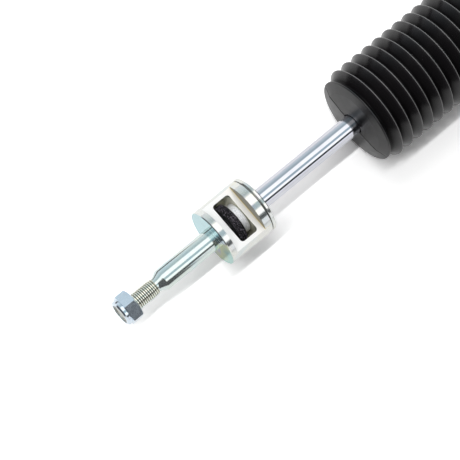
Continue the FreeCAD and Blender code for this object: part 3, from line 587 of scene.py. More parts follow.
def zinc_finish():
    """Bright zinc plate."""
    material, tree, shader = new_finish("zinc_plate_finish", {"Metallic": ZINC_METALLIC})
    feed(tree, zinc_colour(tree), shader.inputs["Base Color"])
    zinc_surface(tree, shader)
    return material


def nut_finish():
    """Zinc plate with a blue cast."""
    material, tree, shader = new_finish("nut_zinc_finish", {"Metallic": 0.9})
    colour_by(tree, shader, grain(tree, 180), tones("nut", (0.35, 0.95), (0.65, 1.04)))
    zinc_surface(tree, shader)
    return material


def end_face(tree):
    """Where the housing's end face is, and the cyan, violet, olive and green across it."""
    colours = [
        (0.15, (0.43, 0.65, 0.69)),
        (0.55, (0.42, 0.66, 0.72)),
        (0.66, (0.60, 0.63, 0.76)),
        (0.74, (0.76, 0.80, 0.47)),
        (0.90, (0.38, 0.64, 0.59)),
    ]
    mottle = scaled(tree, grain(tree, 90, detail=2, distortion=0.6), -0.2, 0.2)
    across = along(tree, "Y", -HOUSING_END.y, HOUSING_END.y)
    mask = along(tree, "X", HOUSING_END.x - 4 * HAIR, HOUSING_END.x - 2 * HAIR)
    return mask, tinted(tree, added(tree, across, mottle), colours)


def notch_flat(tree):
    """Where the flat of the notch is, and its cream white, with a golden strip beside the wall that is
    painted shade of the corner.
    """
    # Painted shade: the golden strip next to the wall
    colours = [
        (0.0, (0.84, 0.72, 0.42)),
        (0.012, (0.92, 0.82, 0.55)),
        (0.025, (0.98, 0.95, 0.89)),
        (0.30, (0.95, 0.94, 0.92)),
        (1.0, (0.94, 0.95, 0.94)),
    ]
    under = along(tree, "Z", NOTCH_HEIGHT + 4 * HAIR, NOTCH_HEIGHT + 2 * HAIR)
    over = along(tree, "Z", NOTCH_HEIGHT - 2 * HAIR, NOTCH_HEIGHT - HAIR)
    return both(tree, under, over), tinted(tree, along(tree, "X", NOTCH_WALL, NOTCH_END), colours)


def notch_wall(tree):
    """Where the end wall of the notch is, and its dark olive: painted shade, lightest at the wall's foot
    and darkest partway up.
    """
    # Painted shade on the wall, by height
    colours = [
        (0.0, (0.18, 0.165, 0.10)),
        (0.60, (0.09, 0.085, 0.06)),
        (1.0, (0.12, 0.11, 0.09)),
    ]
    before = along(tree, "X", NOTCH_WALL + 6 * HAIR, NOTCH_WALL + HAIR)
    behind = along(tree, "X", NOTCH_WALL - 4 * HAIR, NOTCH_WALL - HAIR)
    above = along(tree, "Z", NOTCH_HEIGHT + HAIR, NOTCH_HEIGHT + 3 * HAIR)
    mask = both(tree, both(tree, before, behind), above)
    return mask, tinted(tree, along(tree, "Z", NOTCH_HEIGHT, HOUSING_END.y), colours)


def wheel_slot(tree):
    """Where the inside of the wheel's slot is, and its colour: a rough-cut grain over painted light at the
    -Y end and painted shade at the +Y end.
    """
    # Painted light at the -Y end and painted shade at the +Y end, with a rough-cut grain
    colours = [(0.35, (0.98, 0.97, 0.82)), (0.65, (0.56, 0.55, 0.44))]
    rough_cut = scaled(tree, grain(tree, 300), -0.1, 0.1)
    across = along(tree, "Y", -HOUSING_END.y, HOUSING_END.y)
    in_reach = along(tree, "X", SLOT_SIDE + HAIR, SLOT_SIDE - HAIR)
    below = along(tree, "Z", NOTCH_HEIGHT - HAIR, NOTCH_HEIGHT - 3 * HAIR)
    mask = both(tree, both(tree, in_reach, below), near_axis(tree, SLOT_R + HAIR, SLOT_R - HAIR))
    return mask, tinted(tree, added(tree, across, rough_cut), colours)


def housing_finish():
    """Zinc plate with the colours that its passivation leaves on the end face, painted shade on the notch's
    wall and beside it, and painted light and shade inside the wheel's slot.
    """
    material, tree, shader = new_finish("housing_zinc_finish")
    flat = notch_flat(tree)
    slot = wheel_slot(tree)
    colour = zinc_colour(tree)
    for mask, over_it in (end_face(tree), flat, notch_wall(tree), slot):
        colour = blend(tree, mask, colour, over_it)
    feed(tree, colour, shader.inputs["Base Color"])
    on_flat = flat[0]
    in_slot = slot[0]
    flat_metal = scaled(tree, on_flat, ZINC_METALLIC, FLAT_METALLIC)
    slot_loss = scaled(tree, in_slot, 0.0, SLOT_METALLIC - ZINC_METALLIC)
    feed(tree, added(tree, flat_metal, slot_loss), shader.inputs["Metallic"])
    zinc_surface(tree, shader, scaled(tree, on_flat, 0.0, 0.25))
    return material


def stud_finish(stud):
    """Zinc plate, with painted shade: dull olive darkening the roots of the thread."""
    material, tree, shader = new_finish("stud_zinc_finish", {"Metallic": ZINC_METALLIC})
    # Painted shade: dark olive in the thread's roots, lighter up to the crests
    root_shade_stops = [(0.0, (0.30, 0.30, 0.22)), (0.45, (0.78, 0.79, 0.67)), (0.8, (0.94, 0.96, 0.90))]
    thread_colour = tinted(tree, near_axis(tree, stud.root_r, stud.crest_r), root_shade_stops)
    start = HOUSING_END.x + stud.shank_length + stud.cone_length + stud.neck_length
    on_thread = along(tree, "X", start, start + 6 * HAIR)
    colour = blend(tree, on_thread, zinc_colour(tree, "shank"), thread_colour)
    feed(tree, colour, shader.inputs["Base Color"])
    zinc_surface(tree, shader)
    return material


def hub_finish():
    """Bright hub with a coarse, glinting grain."""
    material, tree, shader = new_finish("hub_finish", {"Metallic": 0.4})
    glints = grain(tree, 2000, detail=1)
    colour_by(tree, shader, glints, tones("hub", (0.38, 0.78), (0.62, 1.08)))
    roughen(tree, shader, grain(tree, 500), 0.4, 0.55)
    relief(tree, shader, glints, 0.06 * MM, 0.8)
    return material


def wheel_finish(wheel):
    """Black wheel with painted glints: bright specks on the knurl points."""
    material, tree, shader = new_finish("wheel_black_finish", {"Specular IOR Level": 0.2})
    wheel_r = WHEEL_END.y
    glints = grain(tree, 2000, detail=0)
    on_points = near_axis(tree, wheel_r + 0.2 * wheel.depth, wheel_r + 0.6 * wheel.depth)
    # Painted glints: bright specks at random on the tips of the knurl
    painted_glints = both(tree, on_points, ranged(tree, glints, 0.57, 0.64))
    colour_by(tree, shader, painted_glints, tones("wheel", (0.0, 0.2), (1.0, 22, (0.04, 0.0, 0.025))))
    roughen(tree, shader, grain(tree, 600), 0.45, 0.6)
    relief(tree, shader, glints, 0.05 * MM, 0.4)
    return material


def chrome_finish():
    """Ground and polished hard chrome, with faint marks round the rod."""
    material, tree, shader = new_finish("rod_chrome_finish", {"Metallic": 1.0})
    colour_by(tree, shader, grain(tree, 120), tones("chrome", (0.35, 0.96), (0.65, 1.03)))
    roughen(tree, shader, grain(tree, 300, (10, 1, 1)), 0.05, 0.09)
    relief(tree, shader, grain(tree, 500, (12, 1, 1), detail=2), 0.004 * MM, 0.15)
    return material


def rubber_tooth(tree, shader):
    """The fine tooth of moulded rubber."""
    relief(tree, shader, grain(tree, 2600, detail=3), 0.02 * MM, 0.2)


def rubber_finish():
    """Moulded black rubber, satin, with a painted highlight that lightens its sharp edges to grey."""
    material, tree, shader = new_finish("black_rubber_finish", {"Specular IOR Level": 0.55})
    edges = add_node(tree, "ShaderNodeNewGeometry").outputs["Pointiness"]
    # Painted highlight: the sharper an edge, the lighter its grey
    colour_by(tree, shader, edges, tones("rubber", (0.50, 1.0), (0.56, 3.0), (0.66, 14)))
    roughen(tree, shader, grain(tree, 240), 0.24, 0.32)
    rubber_tooth(tree, shader)
    return material


# The boot's rims are painted this grey as a highlight, and its front face starts this far behind its
# foremost point
RIM_HIGHLIGHT_GREY = (0.13, 0.13, 0.13)
FACE_START = 3.5 * MM


def bellows_finish(boot):
    """The boot's rubber: painted shade darkening the valleys, rims painted grey as a highlight, and a
    duller front face.
    """
    material, tree, shader = new_finish("bellows_rubber_finish")
    rim = BOOT_END.y
    depth = boot.valley_depth
    # Painted shade: darker towards the valleys; painted highlight: lighter, then grey, at the rims
    stops = tones("rubber", (0.0, 0.4), (0.80, 0.7), (0.96, 1.6)) + [(0.985, RIM_HIGHLIGHT_GREY)]
    colour_by(tree, shader, near_axis(tree, rim - depth, rim), stops)
    face = along(tree, "X", BOOT_END.x - FACE_START - 2 * HAIR, BOOT_END.x - FACE_START + 2 * HAIR)
    height = near_axis(tree, rim - 0.75 * depth, rim - 0.05 * depth)
    gloss = math_of(tree, "MAXIMUM", height, face)
    feed(tree, scaled(tree, gloss, 0.07, 0.6), shader.inputs["Specular IOR Level"])
    rough = added(tree, scaled(tree, grain(tree, 240), 0.14, 0.28), scaled(tree, face, 0.0, 0.14))
    feed(tree, rough, shader.inputs["Roughness"])
    rubber_tooth(tree, shader)
    return material


def paint_finish():
    """Satin black paint with a slight orange peel."""
    coat_sockets = {"Coat Weight": 0.2, "Coat Roughness": 0.25}
    material, tree, shader = new_finish("body_paint_finish", coat_sockets)
    colour_by(tree, shader, grain(tree, 90), tones("paint", (0.35, 0.85), (0.65, 1.2)))
    roughen(tree, shader, grain(tree, 350), 0.30, 0.42)
    relief(tree, shader, grain(tree, 900, detail=2), 0.03 * MM, 0.3)
    return material


def metal_finish(name, rough_low, rough_high, grain_scale, stretch, depth):
    """A bare metal with its own tool marks or grain."""
    material, tree, shader = new_finish(f"{name}_metal", {"Metallic": 1.0})
    marks = grain(tree, grain_scale, stretch, detail=3)
    colour_by(tree, shader, marks, tones(name, (NOISE_LOW, 0.85), (NOISE_HIGH, 1.1)))
    roughen(tree, shader, grain(tree, 300), rough_low, rough_high)
    relief(tree, shader, marks, depth, 0.5)
    return material


def plain_finish(name, rough_low, rough_high, grain_scale, depth):
    """A moulded or pressed finish with a fine grain."""
    material, tree, shader = new_finish(f"{name}_finish")
    colour_by(tree, shader, grain(tree, grain_scale), tones(name, (NOISE_LOW, 0.8), (NOISE_HIGH, 1.2)))
    roughen(tree, shader, grain(tree, 300), rough_low, rough_high)
    relief(tree, shader, grain(tree, grain_scale * 2, detail=2), depth, 0.5)
    return material


# The finish of each slot, once its step has made it
FINISHES = {}


def recoat(name, material):
    """Give one CAD piece a finish of its own."""
    materials = frame["nodes"][name].data.materials
    materials.clear()
    materials.append(material)


def coat(slot, material):
    """Give a finish to every CAD piece that the record puts in a slot."""
    pieces = [row["node"] for row in frame["record"]["subparts"] if row["material_slot"] == slot]
    if not pieces:
        raise RuntimeError(f"no piece has the slot {slot}")
    FINISHES[slot] = material
    for name in pieces:
        recoat(name, material)


def finish_of(slot):
    """The finish that an earlier step has made for a slot."""
    if slot not in FINISHES:
        raise RuntimeError(f"the finish of {slot} isn't made yet")
    return FINISHES[slot]


class SHOCK_OT_zinc(bpy.types.Operator):
    """Zinc plate on the housing, its cover, the nut and the eye's sleeve"""

    bl_idname = "shock.zinc"
    bl_label = "Plate the zinc pieces"

    def execute(self, context):
        coat("zinc_plate", zinc_finish())
        recoat("adjuster_housing", housing_finish())
        recoat("lock_nut", nut_finish())
        return {"FINISHED"}


class SHOCK_OT_chrome(bpy.types.Operator):
    """Hard chrome on the piston rod"""

    bl_idname = "shock.chrome"
    bl_label = "Chrome the rod"

    def execute(self, context):
        coat("rod_chrome", chrome_finish())
        return {"FINISHED"}


class SHOCK_OT_rubber(bpy.types.Operator):
    """Black rubber on the bushes, stops and seals"""

    bl_idname = "shock.rubber"
    bl_label = "Finish the rubber pieces"

    def execute(self, context):
        coat("black_rubber", rubber_finish())
        return {"FINISHED"}


class SHOCK_OT_paint(bpy.types.Operator):
    """Satin paint on the tube, cap and eye"""

    bl_idname = "shock.paint"
    bl_label = "Paint the body"

    def execute(self, context):
        coat("body_paint", paint_finish())
        return {"FINISHED"}


class SHOCK_OT_inner_metal(bpy.types.Operator):
    """Bare steel, sintered iron and bronze on the inner pieces, and a bright hub"""

    bl_idname = "shock.inner_metal"
    bl_label = "Finish the inner metal"

    def execute(self, context):
        coat("bright_steel", metal_finish("steel", 0.16, 0.28, 400, (8, 1, 1), 0.02 * MM))
        coat("sintered_iron", metal_finish("sintered", 0.35, 0.5, 1800, (1, 1, 1), 0.08 * MM))
        recoat("adjuster_hub", hub_finish())
        coat("bearing_bronze", metal_finish("bronze", 0.25, 0.35, 500, (8, 1, 1), 0.02 * MM))
        return {"FINISHED"}


class SHOCK_OT_plastics(bpy.types.Operator):
    """Black wheel, white locking ring and fibre gasket"""

    bl_idname = "shock.plastics"
    bl_label = "Finish the wheel, ring and gasket"

    def execute(self, context):
        coat("wheel_black", wheel_finish(context.scene.shock_wheel))
        coat("white_nylon", plain_finish("nylon", 0.4, 0.5, 500, 0.02 * MM))
        coat("gasket_fibre", plain_finish("gasket", 0.7, 0.85, 1500, 0.05 * MM))
        return {"FINISHED"}


# A rim's corner stands this share of its fillet too high, so that the rounded edge reaches the rim
RIM_OVERSHOOT = 0.8
# Fillets of the boot: the front rim's as a share of its bead, a valley's as a share of the wall
BEAD_ROUND = 0.4
VALLEY_ROUND = 0.6
BEND_ROUND = 4 * MM
LIP_ROUND = 3 * MM
LIP_EDGE_ROUND = 0.5 * MM
# How far the inside lies under a rim and under the front rim, in walls
RIM_WALLS = 1.8
FRONT_RIM_WALLS = 1.4
# How far in from the front rim the crease and its line begin, and where they are whole
CREASE_FADE = (0.5 * MM, 9 * MM)
GROOVE_FADE = (1 * MM, 3 * MM)


def bellows_outline(boot):
    """Closed outline of the bellows, from the cuff's edge to the lip and back along the inside."""
    start = BOOT_START.x + boot.cuff_length
    front = BOOT_END.x - boot.face_bulge
    rim = BOOT_END.y
    valley = rim - boot.valley_depth
    inner_valley = valley - boot.wall
    outside = [(start, valley, 0)]
    inside = [(start, inner_valley, 0)]
    for fold in range(boot.folds):
        middle = front - boot.front_rim_gap - (boot.folds - 1 - fold) * boot.fold_pitch
        if fold > 0:
            outside.append((middle - boot.back_run, valley, boot.wall * VALLEY_ROUND))
            inside.append((middle - boot.back_run, inner_valley, 0))
        outside.append((middle, rim + boot.edge_round * RIM_OVERSHOOT, boot.edge_round))
        inside.append((middle, rim - boot.wall * RIM_WALLS, 0))
    front_rim = rim - boot.front_rim_drop
    bend = front + boot.bend_forward
    bend_r = front_rim - boot.bend_inward
    lip = front + boot.lip_forward
    hole = ROD_R + boot.rod_gap
    outside += [
        (front - boot.back_run, valley, boot.wall * VALLEY_ROUND),
        (front - boot.bead / 2, front_rim, boot.bead * BEAD_ROUND),
        (front + boot.bead / 2, front_rim, boot.bead * BEAD_ROUND),
        (bend, bend_r, BEND_ROUND),
        (lip, hole + boot.lip_width, LIP_ROUND),
        (lip, hole, LIP_EDGE_ROUND),
    ]
    inside += [
        (front - boot.back_run, inner_valley, 0),
        (front, front_rim - boot.wall * FRONT_RIM_WALLS, 0),
        (bend - boot.wall, bend_r, 0),
        (lip - boot.lip_wall, hole + boot.lip_width, 0),
        (lip - boot.lip_wall, hole, 0),
    ]
    return rounded(outside + inside[::-1])


def creased(boot, point):
    """Lift a point of the front face along a crease level with the rod, with a line along its top."""
    if point.x < BOOT_END.x - boot.face_bulge - boot.bead:
        return point
    inward = BOOT_END.y - boot.front_rim_drop - math.hypot(point.y, point.z)
    fall = math.hypot(point.z, boot.crease_top) / boot.crease_spread
    point.x += smooth_step(*CREASE_FADE, inward) * boot.crease * max(0.0, 1 - fall)
    line = 1 - smooth_step(0, boot.groove_width, abs(point.z))
    point.x -= line * smooth_step(*GROOVE_FADE, inward) * boot.groove_depth
    return point


# The clip's thickness, the play under it, and the play between the cuff and the tube or the clip's sides
CLIP_WALL = 1.5 * MM
CLIP_PLAY = 0.02 * MM
CUFF_PLAY = 0.1 * MM
# Fillets of the cuff: its end, the edges of the clip's groove, and the shoulder before the folds
CUFF_ROUND = 0.7 * MM
GROOVE_ROUND = 0.3 * MM
SHOULDER_ROUND = 0.8 * MM


def cuff_outline(boot):
    """Closed outline of the plain sleeve, with the groove that its clip sits in."""
    start = BOOT_START.x + boot.cuff_length
    inner = TUBE_END.y + CUFF_PLAY
    outer = TUBE_END.y + boot.cuff_wall
    groove = CLIP_END.y - CLIP_WALL - CLIP_PLAY
    valley = BOOT_END.y - boot.valley_depth
    return rounded([
        (BOOT_START.x, inner, 0),
        (BOOT_START.x, outer, CUFF_ROUND),
        (CLIP_START.x - CUFF_PLAY, outer, GROOVE_ROUND),
        (CLIP_START.x - CUFF_PLAY, groove, 0),
        (CLIP_END.x + CUFF_PLAY, groove, 0),
        (CLIP_END.x + CUFF_PLAY, outer, GROOVE_ROUND),
        (start - boot.wall, outer, SHOULDER_ROUND),
        (start, valley, 0),
        (start, valley - boot.wall, 0),
        (start - boot.wall, inner, 0),
    ])


class SHOCK_OT_boot(bpy.types.Operator):
    """Bellows with rounded rims, a creased front and a plain cuff"""

    bl_idname = "shock.boot"
    bl_label = "Make the boot"

    def execute(self, context):
        boot = context.scene.shock_boot
        turn = crowded_turn(boot.sides, boot.crowding)
        bellows = lathe("boot_bellows", bellows_outline(boot), turn, partial(creased, boot))
        bellows.data.materials.append(bellows_finish(boot))
        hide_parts("boot")
        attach(bellows, "body")
        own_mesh(bellows)

        cuff = lathe("boot_cuff", cuff_outline(boot), even_turn(boot.sides))
        cuff.data.materials.append(finish_of("black_rubber"))
        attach(cuff, "body")
        return {"FINISHED"}


# The thread's flanks lie between these shares of the way from the middle of a root to that of a crest
FLANK = (0.1, 0.7)
# The thread starts at this share of its height and is whole after this many turns
RUN_IN_SHARE = 0.35
RUN_IN_TURNS = 2.6
# It grows out of the neck within this part of a turn
NECK_TURNS = 0.4
# The cone's ends are eased: from before each edge to past it, and by this much in radius
EASE_BEFORE = 0.3 * MM
SHANK_EASE_PAST = 0.2 * MM
NECK_EASE_PAST = 0.4 * MM
EASE_DEPTH = 0.12 * MM


def stud_outline(stud, cone, neck, thread):
    """Open outline of the stud's turned stretch, from the spigot's end to the start of the thread."""
    step = stud.shank_r - stud.spigot_r
    return [
        (STUD_START.x, 0.0),
        (STUD_START.x, stud.spigot_r - stud.spigot_edge),
        (STUD_START.x + stud.spigot_edge, stud.spigot_r),
        (HOUSING_END.x - step, stud.spigot_r),
        (HOUSING_END.x, stud.shank_r),
        (cone - EASE_BEFORE, stud.shank_r),
        (cone + SHANK_EASE_PAST, stud.shank_r - EASE_DEPTH),
        (neck - EASE_BEFORE, stud.neck_r + EASE_DEPTH),
        (neck + NECK_EASE_PAST, stud.neck_r),
        (thread, stud.neck_r),
    ]


def thread_radius(stud, thread, place, share):
    """Radius of the thread at a place on the axis, a share of a turn from the middle of a crest."""
    height = smooth_step(*FLANK, abs(2 * share - 1))
    past = place - thread
    run_in = RUN_IN_SHARE + (1 - RUN_IN_SHARE) * smooth_step(0, RUN_IN_TURNS * stud.pitch, past)
    radius = stud.root_r + (stud.crest_r - stud.root_r) * run_in * height
    radius += (stud.neck_r - radius) * (1 - smooth_step(0, NECK_TURNS * stud.pitch, past))
    tip_r = stud.root_r - stud.tip_drop
    return min(radius, tip_r + (STUD_END.x - place) / stud.chamfer * (stud.crest_r - tip_r))


def stud_rings(stud):
    """Rings of points from the spigot to the stud's end, each ring of the thread one pitch askew."""
    cone = HOUSING_END.x + stud.shank_length
    neck = cone + stud.cone_length
    thread = neck + stud.neck_length
    angles = even_turn(stud.sides)
    outline = stud_outline(stud, cone, neck, thread)
    rings = [[around(place, radius, angle) for angle in angles] for place, radius in outline]
    turns = math.ceil((STUD_END.x - thread) / stud.pitch) + 1
    for row in range(turns * stud.rows_per_turn + 1):
        turn = row / stud.rows_per_turn
        ring = []
        for angle in angles:
            place = thread + (turn + angle / FULL_TURN - 1) * stud.pitch
            place = min(STUD_END.x, max(thread, place))
            ring.append(around(place, thread_radius(stud, thread, place, turn % 1), angle))
        rings.append(ring)
    return rings


class SHOCK_OT_stud(bpy.types.Operator):
    """Mounting stud with a true helical thread, a neck, a cone and a smooth shank"""

    bl_idname = "shock.stud"
    bl_label = "Make the stud"

    def execute(self, context):
        stud = context.scene.shock_stud
        piece = skin("stud_threaded", stud_rings(stud), closed=False)
        piece.data.materials.append(stud_finish(stud))
        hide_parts("mounting_stud")
        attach(piece, "rod")
        return {"FINISHED"}


# The knurl's points are cut off flat: uncut, its flanks would rise this many times as high
POINT_CUT = 1.5
# Edges of the knurl sharper than this stay sharp
KNURL_SHARP = math.radians(20)


def knurl(across, ahead):
    """Height of a diamond knurl, 0 in its grooves and 1 on its points, by ridges round and ahead."""
    first = abs(2 * ((across + ahead) % 1) - 1)
    second = abs(2 * ((across - ahead) % 1) - 1)
    return min(1.0, POINT_CUT * min(first, second))


def knurl_rings(wheel):
    """Rings of points over the knurled band, and two along its inside."""
    start = WHEEL_START.x + wheel.margin
    length = WHEEL_END.x - wheel.margin - start
    ridges_along = round(length / (FULL_TURN * WHEEL_END.y / wheel.ridges))
    steps = ridges_along * wheel.steps_per_ridge
    angles = even_turn(wheel.ridges * wheel.steps_per_ridge)
    foot = WHEEL_END.y - wheel.sink
    rings = []
    for step in range(steps + 1):
        share = step / steps
        ring = []
        for number, angle in enumerate(angles):
            height = knurl(number / wheel.steps_per_ridge, share * ridges_along)
            ring.append(around(start + length * share, foot + wheel.depth * height, angle))
        rings.append(ring)
    for place in (start + length, start):
        rings.append([around(place, WHEEL_END.y - wheel.band, angle) for angle in angles])
    return rings


class SHOCK_OT_wheel(bpy.types.Operator):
    """Diamond knurl round the finger wheel"""

    bl_idname = "shock.wheel"
    bl_label = "Knurl the wheel"

    def execute(self, context):
        piece = skin("wheel_knurl", knurl_rings(context.scene.shock_wheel), sharp=KNURL_SHARP)
        piece.data.materials.append(finish_of("wheel_black"))
        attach(piece, "adjuster")
        return {"FINISHED"}


class SHOCK_OT_springs(bpy.types.Operator):
    """Dished springs over the valve plates"""

    bl_idname = "shock.springs"
    bl_label = "Make the valve springs"

    def execute(self, context):
        spring = context.scene.shock_springs
        steel = finish_of("bright_steel")
        for valve, body in (("intake", "body"), ("check", "rod")):
            low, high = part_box(f"{valve}_spring")
            bore = high.y - spring.reach
            corners = [
                (low.x, high.y, spring.edge_round),
                (low.x + spring.leaf, high.y, spring.edge_round),
                (high.x, bore, spring.edge_round),
                (high.x - spring.leaf, bore, spring.edge_round),
            ]
            piece = lathe(f"{valve}_spring_leaf", rounded(corners), even_turn(spring.sides))
            piece.data.materials.append(steel)
            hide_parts(f"{valve}_spring")
            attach(piece, body)
            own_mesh(piece)
        return {"FINISHED"}


class SHOCK_OT_welds(bpy.types.Operator):
    """Rippled weld beads round the cap and round the eye's saddle"""

    bl_idname = "shock.welds"
    bl_label = "Lay the welds"

    def execute(self, context):
        weld = context.scene.shock_welds
        paint = finish_of("body_paint")
        cap_r = TUBE_END.y - weld.tube_sink

        def on_cap(angle):
            return around(TUBE_START.x, cap_r, angle)

        def on_eye(angle):
            point = around(0, weld.boss_r, angle)
            point.x = math.sqrt(EYE_R ** 2 - point.z ** 2) + weld.eye_lift
            return point

        for name, place, radius in (("cap_weld", on_cap, cap_r), ("eye_weld", on_eye, weld.boss_r)):
            ripples = round(FULL_TURN * radius / weld.ripple)
            steps = ripples * weld.steps_per_ripple
            path = [place(angle) for angle in even_turn(steps)]
            radii = []
            for step in range(steps):
                swell = abs(math.sin(math.pi * step / weld.steps_per_ripple))
                radii.append(weld.bead_r * (weld.waist + (1 - weld.waist) * swell))
            piece = bead_along(name, path, radii)
            piece.data.materials.append(paint)
            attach(piece, "body")
        return {"FINISHED"}


WHITE = (1, 1, 1, 1)
# What the studio looks like round the axis: degrees from straight up towards +Y, and brightness
STUDIO_BANDS = (
    (-180, (0.95, 0.95, 0.98)),
    (-112, (0.95, 0.95, 0.98)),
    (-95, (0.98, 0.97, 1.02)),
    (-80, (0.72, 0.79, 0.84)),
    (-67, (0.62, 0.71, 0.76)),
    (-45, (0.40, 0.49, 0.53)),
    (-38, (0.58, 0.66, 0.70)),
    (-31, (1.36, 1.36, 1.36)),
    (1, (1.36, 1.36, 1.36)),
    (4, (0.42, 0.54, 0.60)),
    (21, (0.42, 0.54, 0.60)),
    (27, (1.38, 1.38, 1.38)),
    (45, (1.38, 1.38, 1.38)),
    (48.8, (0.12, 0.13, 0.14)),
    (55, (0.05, 0.055, 0.06)),
    (65, (0.05, 0.055, 0.06)),
    (68.5, (0.98, 0.98, 1.02)),
    (180, (0.95, 0.95, 0.98)),
)
# The room ahead of the stud is dark: the ways it lies, and where its edges run
DARK_WAYS = (
    ((1.0, 0.6, 0.0), (0.41, 0.49)),
    ((1.0, 0.2, -0.4), (0.30, 0.37)),
)
DARK_ROOM = (0.03, 0.03, 0.034)
# The white sheet that metal and rubber mirror ends ahead of the stud, on the -Y side
SHEET_EDGE_WAY = (1.0, -0.2566, 0.0)
SHEET_EDGE = (0.58, 0.60)
SHEET_SIDE = (-0.10, -0.13)
# The shadows fade between these multiples of the stretch of floor that shows them
SHADE_FADE = (1.0, 1.6)
# The camera's sensor in millimetres, and how far it sees in metres
SENSOR_WIDTH = 36
SIGHT = 20


def matte(tree, colour):
    """A plain matte shader."""
    return add_node(tree, "ShaderNodeBsdfDiffuse", {"Color": (*colour, 1)}).outputs[0]


def away_from_object(tree, stage):
    """0 on the floor round the object, 1 well away from it."""
    middle = (CAD_BOX[0] + CAD_BOX[1]) / 2
    inputs = {
        "Vector": place_of(tree),
        "Location": (-middle.x / stage.shade_length, 0, 0),
        "Scale": (1 / stage.shade_length, 1 / stage.shade_width, 0),
    }
    mapping = add_node(tree, "ShaderNodeMapping", inputs)
    return ranged(tree, vector_math_of(tree, "LENGTH", mapping.outputs["Vector"]), *SHADE_FADE)


def floor_material(stage):
    """White floor with shadows round the object, which ends in the dark as metal mirrors it."""
    material = bpy.data.materials.new("floor_white")
    material.use_nodes = True
    tree = material.node_tree
    tree.nodes.clear()
    whites = (stage.floor_colour, stage.floor_mirrored, stage.floor_seen)
    plain, mirrored, near = [matte(tree, (white, white, white)) for white in whites]
    far = add_node(tree, "ShaderNodeEmission", {"Color": WHITE}).outputs[0]
    seen = mixed(tree, away_from_object(tree, stage), near, far)
    ahead = vector_math_of(tree, "DOT_PRODUCT", place_of(tree), SHEET_EDGE_WAY)
    off_sheet = both(tree, ranged(tree, ahead, *SHEET_EDGE), along(tree, "Y", *SHEET_SIDE))
    mirrored = mixed(tree, off_sheet, mirrored, matte(tree, DARK_ROOM))
    light = add_node(tree, "ShaderNodeLightPath")
    surface = mixed(tree, light.outputs["Is Glossy Ray"], plain, mirrored)
    surface = mixed(tree, light.outputs["Is Camera Ray"], surface, seen)
    add_node(tree, "ShaderNodeOutputMaterial", {"Surface": surface})
    return material


def build_floor(stage, height):
    """A wide white floor."""
    reach = stage.floor_reach
    corners = [(-reach, -reach), (reach, -reach), (reach, reach), (-reach, reach)]
    mesh = bpy.data.meshes.new("floor")
    mesh.from_pydata([(x, y, height) for x, y in corners], [], [(0, 1, 2, 3)])
    mesh.materials.append(floor_material(stage))
    floor = bpy.data.objects.new("floor", mesh)
    bpy.context.scene.collection.objects.link(floor)
    return floor


def studio_colour(tree, way):
    """What a mirrored ray that goes a way sees: bands round the axis, and the dark room ahead."""
    split = add_node(tree, "ShaderNodeSeparateXYZ", {0: way})
    angle = math_of(tree, "ARCTAN2", split.outputs["Y"], split.outputs["Z"])
    bands = [((degrees + 180) / 360, colour) for degrees, colour in STUDIO_BANDS]
    seen = tinted(tree, ranged(tree, angle, -math.pi, math.pi), bands)
    for dark_way, edge in DARK_WAYS:
        ahead = vector_math_of(tree, "DOT_PRODUCT", way, dark_way)
        dark = ranged(tree, ahead, *edge, interpolation_type="SMOOTHSTEP")
        seen = blend(tree, dark, seen, (*DARK_ROOM, 1))
    return seen


def build_world(stage):
    """Soft light from above, a white background, and bright and dark bands for the metal to mirror."""
    world = bpy.data.worlds.new("studio")
    bpy.context.scene.world = world
    world.use_nodes = True
    tree = world.node_tree
    tree.nodes.clear()
    way = add_node(tree, "ShaderNodeTexCoord").outputs["Generated"]
    height = add_node(tree, "ShaderNodeSeparateXYZ", {0: way}).outputs["Z"]
    looks = (
        {"Color": WHITE, "Strength": scaled(tree, height, 0.0, stage.ambient)},
        {"Color": studio_colour(tree, way)},
        {"Color": WHITE},
    )
    ambient, studio, white = [add_node(tree, "ShaderNodeBackground", look).outputs[0] for look in looks]
    light = add_node(tree, "ShaderNodeLightPath")
    straight = math_of(tree, "LESS_THAN", light.outputs["Diffuse Depth"], 0.5)
    mirrored = both(tree, light.outputs["Is Glossy Ray"], straight)
    surface = mixed(tree, mirrored, ambient, studio)
    surface = mixed(tree, light.outputs["Is Camera Ray"], surface, white)
    add_node(tree, "ShaderNodeOutputWorld", {"Surface": surface})


def build_camera(stage):
    """Camera above the housing, leaning towards the stud and a little towards +Y."""
    back = Vector((
        math.sin(stage.lean_along),
        math.cos(stage.lean_along) * math.sin(stage.lean_across),
        math.cos(stage.lean_along) * math.cos(stage.lean_across),
    ))
    ahead = Vector((-1, 0, 0))
    ahead = (ahead - back * ahead.dot(back)).normalized()
    across = (-back).cross(ahead)
    right = ahead * math.cos(stage.roll) + across * math.sin(stage.roll)
    up = ahead * math.sin(stage.roll) - across * math.cos(stage.roll)
    data = bpy.data.cameras.new("camera")
    data.sensor_width = SENSOR_WIDTH
    data.lens = data.sensor_width * stage.focal_pixels / stage.image_side
    data.clip_end = SIGHT
    camera = bpy.data.objects.new("camera", data)
    place = Vector(stage.target) + back * stage.distance
    axes = Matrix((right, up, back)).transposed().to_4x4()
    camera.matrix_world = Matrix.Translation(place) @ axes
    bpy.context.scene.collection.objects.link(camera)
    bpy.context.scene.camera = camera


def hang_lamp(name, length, width, power, place, lean):
    """A rectangular lamp that shines down and towards +Y; metal mirrors the studio's bands in its place."""
    data = bpy.data.lights.new(name, "AREA")
    data.shape = "RECTANGLE"
    data.size = length
    data.size_y = width
    data.energy = power
    lamp = bpy.data.objects.new(name, data)
    lamp.visible_glossy = False
    lamp.location = place
    lamp.rotation_euler = (lean, 0, 0)
    bpy.context.scene.collection.objects.link(lamp)


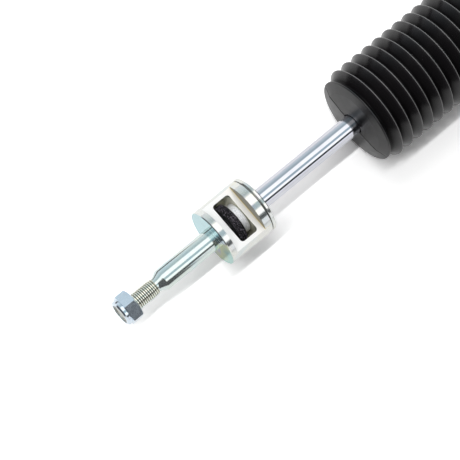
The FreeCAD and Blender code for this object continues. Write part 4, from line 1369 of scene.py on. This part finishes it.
def hang_lamps(stage, floor_height):
    """A strip lamp ahead of the housing and a softbox to one side."""
    place = (
        HOUSING_END.x + stage.lamp_ahead,
        -stage.lamp_height * math.tan(stage.lamp_lean),
        floor_height + stage.lamp_height,
    )
    hang_lamp("strip_lamp", stage.lamp_length, stage.lamp_width, stage.lamp_power, place, stage.lamp_lean)
    place = (
        HOUSING_END.x - stage.box_behind,
        -stage.box_distance * math.sin(stage.box_lean),
        stage.box_distance * math.cos(stage.box_lean),
    )
    hang_lamp("softbox", stage.box_length, stage.box_width, stage.box_power, place, stage.box_lean)


class SHOCK_OT_stage(bpy.types.Operator):
    """White floor, two lamps overhead, the studio round about and the camera"""

    bl_idname = "shock.stage"
    bl_label = "Set the stage"

    def execute(self, context):
        stage = context.scene.shock_stage
        floor_height = CAD_BOX[0].z - stage.floor_gap
        floor = build_floor(stage, floor_height)
        hang_lamps(stage, floor_height)
        build_world(stage)
        build_camera(stage)
        context.scene.view_settings.view_transform = "Standard"
        return {"FINISHED"}


STEPS = (
    SHOCK_OT_zinc,
    SHOCK_OT_chrome,
    SHOCK_OT_rubber,
    SHOCK_OT_paint,
    SHOCK_OT_inner_metal,
    SHOCK_OT_plastics,
    SHOCK_OT_boot,
    SHOCK_OT_stud,
    SHOCK_OT_wheel,
    SHOCK_OT_springs,
    SHOCK_OT_welds,
    SHOCK_OT_stage,
)

SETTINGS = {
    "shock_boot": BootSettings,
    "shock_stud": StudSettings,
    "shock_wheel": WheelSettings,
    "shock_springs": SpringSettings,
    "shock_welds": WeldSettings,
    "shock_finish": FinishSettings,
    "shock_stage": StageSettings,
}


class SHOCK_PT_panel(bpy.types.Panel):
    """The steps that dress the shock absorber"""

    bl_label = "Shock absorber"
    bl_idname = "SHOCK_PT_panel"
    bl_space_type = "VIEW_3D"
    bl_region_type = "UI"
    bl_category = "Shock absorber"

    def draw(self, context):
        for step in STEPS:
            self.layout.operator(step.bl_idname)


def register():
    for name, group in SETTINGS.items():
        bpy.utils.register_class(group)
        setattr(bpy.types.Scene, name, PointerProperty(type=group))
    for step in (*STEPS, SHOCK_PT_panel):
        bpy.utils.register_class(step)


def unregister():
    for step in reversed((*STEPS, SHOCK_PT_panel)):
        bpy.utils.unregister_class(step)
    for name, group in SETTINGS.items():
        delattr(bpy.types.Scene, name)
        bpy.utils.unregister_class(group)


def main():
    """Dress the frame step by step."""
    register()
    for step in STEPS:
        group, name = step.bl_idname.split(".")
        getattr(getattr(bpy.ops, group), name)()


if __name__ == "__main__":
    main()
